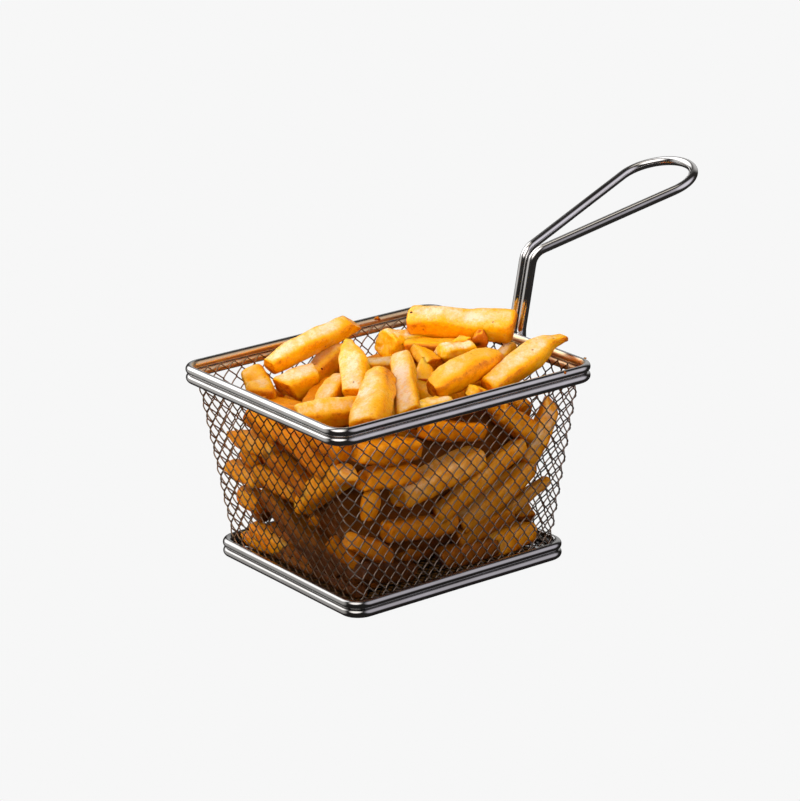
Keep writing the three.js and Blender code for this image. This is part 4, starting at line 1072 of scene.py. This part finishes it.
# Soft lights: name, direction, size in metres, power and colour.
LIGHTS = [
    ("Key", (-0.48, 0.05, 0.87), (0.7, 0.7), 7.3, (1, 0.97, 0.92)),
    ("Top", (0.15, 0.1, 1.0), (1.2, 1.2), 6.2, (1, 0.98, 0.95)),
    ("Left", (-0.50, 0.84, 0.22), (0.8, 0.8), 5.6, (1, 0.96, 0.90)),
    ("Front", (-0.2, -1.0, 0.4), (1.0, 0.8), 10.6, (1, 0.97, 0.95)),
    ("Side", (-0.95, 0.30, 0.15), (0.6, 0.6), 10.5, (1, 0.97, 0.93)),
    ("Right", (0.8, -0.5, 0.4), (0.8, 0.8), 3.4, (1, 0.96, 0.92)),
    ("Back", (0.3, 1.0, 0.5), (0.9, 0.9), 3.0, (1, 1, 1)),
]
LIGHT_DISTANCE = 1.2


def studio_floor():
    """A pale floor with a painted shadow under the basket; it is seen but neither lights nor shades
    the object.
    """
    mesh = bpy.data.meshes.new("Floor")
    r = FLOOR_REACH
    mesh.from_pydata([(-r, -r, 0), (r, -r, 0), (r, r, 0), (-r, r, 0)], [], [(0, 1, 2, 3)])
    floor = bpy.data.objects.new("Floor", mesh)
    bpy.context.scene.collection.objects.link(floor)
    m = Nodes("studio_floor")
    place = m.split(m.place)
    across = m.math("ABSOLUTE", m.math("SUBTRACT", place[0], CENTRE_X + SHADE_SHIFT))
    deep = m.math("ABSOLUTE", m.math("SUBTRACT", place[1], SHADE_SHIFT))
    outside = m.math("MAXIMUM", m.math("SUBTRACT", across, SHADE_HALF[0]),
                     m.math("SUBTRACT", deep, SHADE_HALF[1]))
    # painted shadow: SHADE within SHADE_HALF of the middle, PALE beyond
    lit = m.span(outside, -SHADE_SOFTNESS, 0.0)
    m.shade(
        Base_Color=(0, 0, 0, 1),
        Roughness=1.0,
        Specular_IOR_Level=0.0,
        Emission_Color=m.blend(lit, SHADE, PALE),
        Emission_Strength=1.0,
    )
    mesh.materials.append(m.material)
    floor.visible_glossy = False
    floor.visible_diffuse = False
    floor.visible_shadow = False


def studio_world():
    """A dark room with soft panels, seen in reflections only."""
    world = bpy.data.worlds.new("World")
    world.use_nodes = True
    tree = world.node_tree
    ground = tree.nodes["Background"]
    place = tree.nodes.new("ShaderNodeTexCoord").outputs["Generated"]
    total = STUDIO_DARK
    for direction, full, fading, bright, colour in PANELS:
        dot = tree.nodes.new("ShaderNodeVectorMath")
        dot.operation = "DOT_PRODUCT"
        tree.links.new(place, dot.inputs[0])
        dot.inputs[1].default_value = Vector(direction).normalized()
        fade = tree.nodes.new("ShaderNodeMapRange")
        fade.interpolation_type = "SMOOTHSTEP"
        tree.links.new(dot.outputs["Value"], fade.inputs["Value"])
        fade.inputs["From Min"].default_value = math.cos(math.radians(fading))
        fade.inputs["From Max"].default_value = math.cos(math.radians(full))
        add = tree.nodes.new("ShaderNodeMix")
        add.data_type, add.blend_type, add.clamp_factor = "RGBA", "ADD", False
        tree.links.new(fade.outputs["Result"], add.inputs["Factor"])
        if isinstance(total, tuple):
            add.inputs[6].default_value = total
        else:
            tree.links.new(total, add.inputs[6])
        add.inputs[7].default_value = (*(c * bright for c in colour), 1)
        total = add.outputs[2]
    tree.links.new(total, ground.inputs["Color"])
    world.cycles_visibility.diffuse = False
    bpy.context.scene.world = world


def soft_light(name, direction, size, power, colour):
    data = bpy.data.lights.new(name, "AREA")
    data.shape, data.size, data.size_y = "RECTANGLE", size[0], size[1]
    data.energy, data.color = power, colour
    light = bpy.data.objects.new(name, data)
    toward = Vector(direction).normalized()
    light.location = Vector((CENTRE_X, 0, 0.04)) + toward * LIGHT_DISTANCE
    light.rotation_euler = toward.to_track_quat("Z", "Y").to_euler()
    light.visible_camera = False
    light.visible_glossy = False
    bpy.context.scene.collection.objects.link(light)


studio_floor()
studio_world()
for light in LIGHTS:
    soft_light(*light)
bpy.context.scene.view_settings.view_transform = "Standard"
bpy.context.scene.view_settings.look = "None"
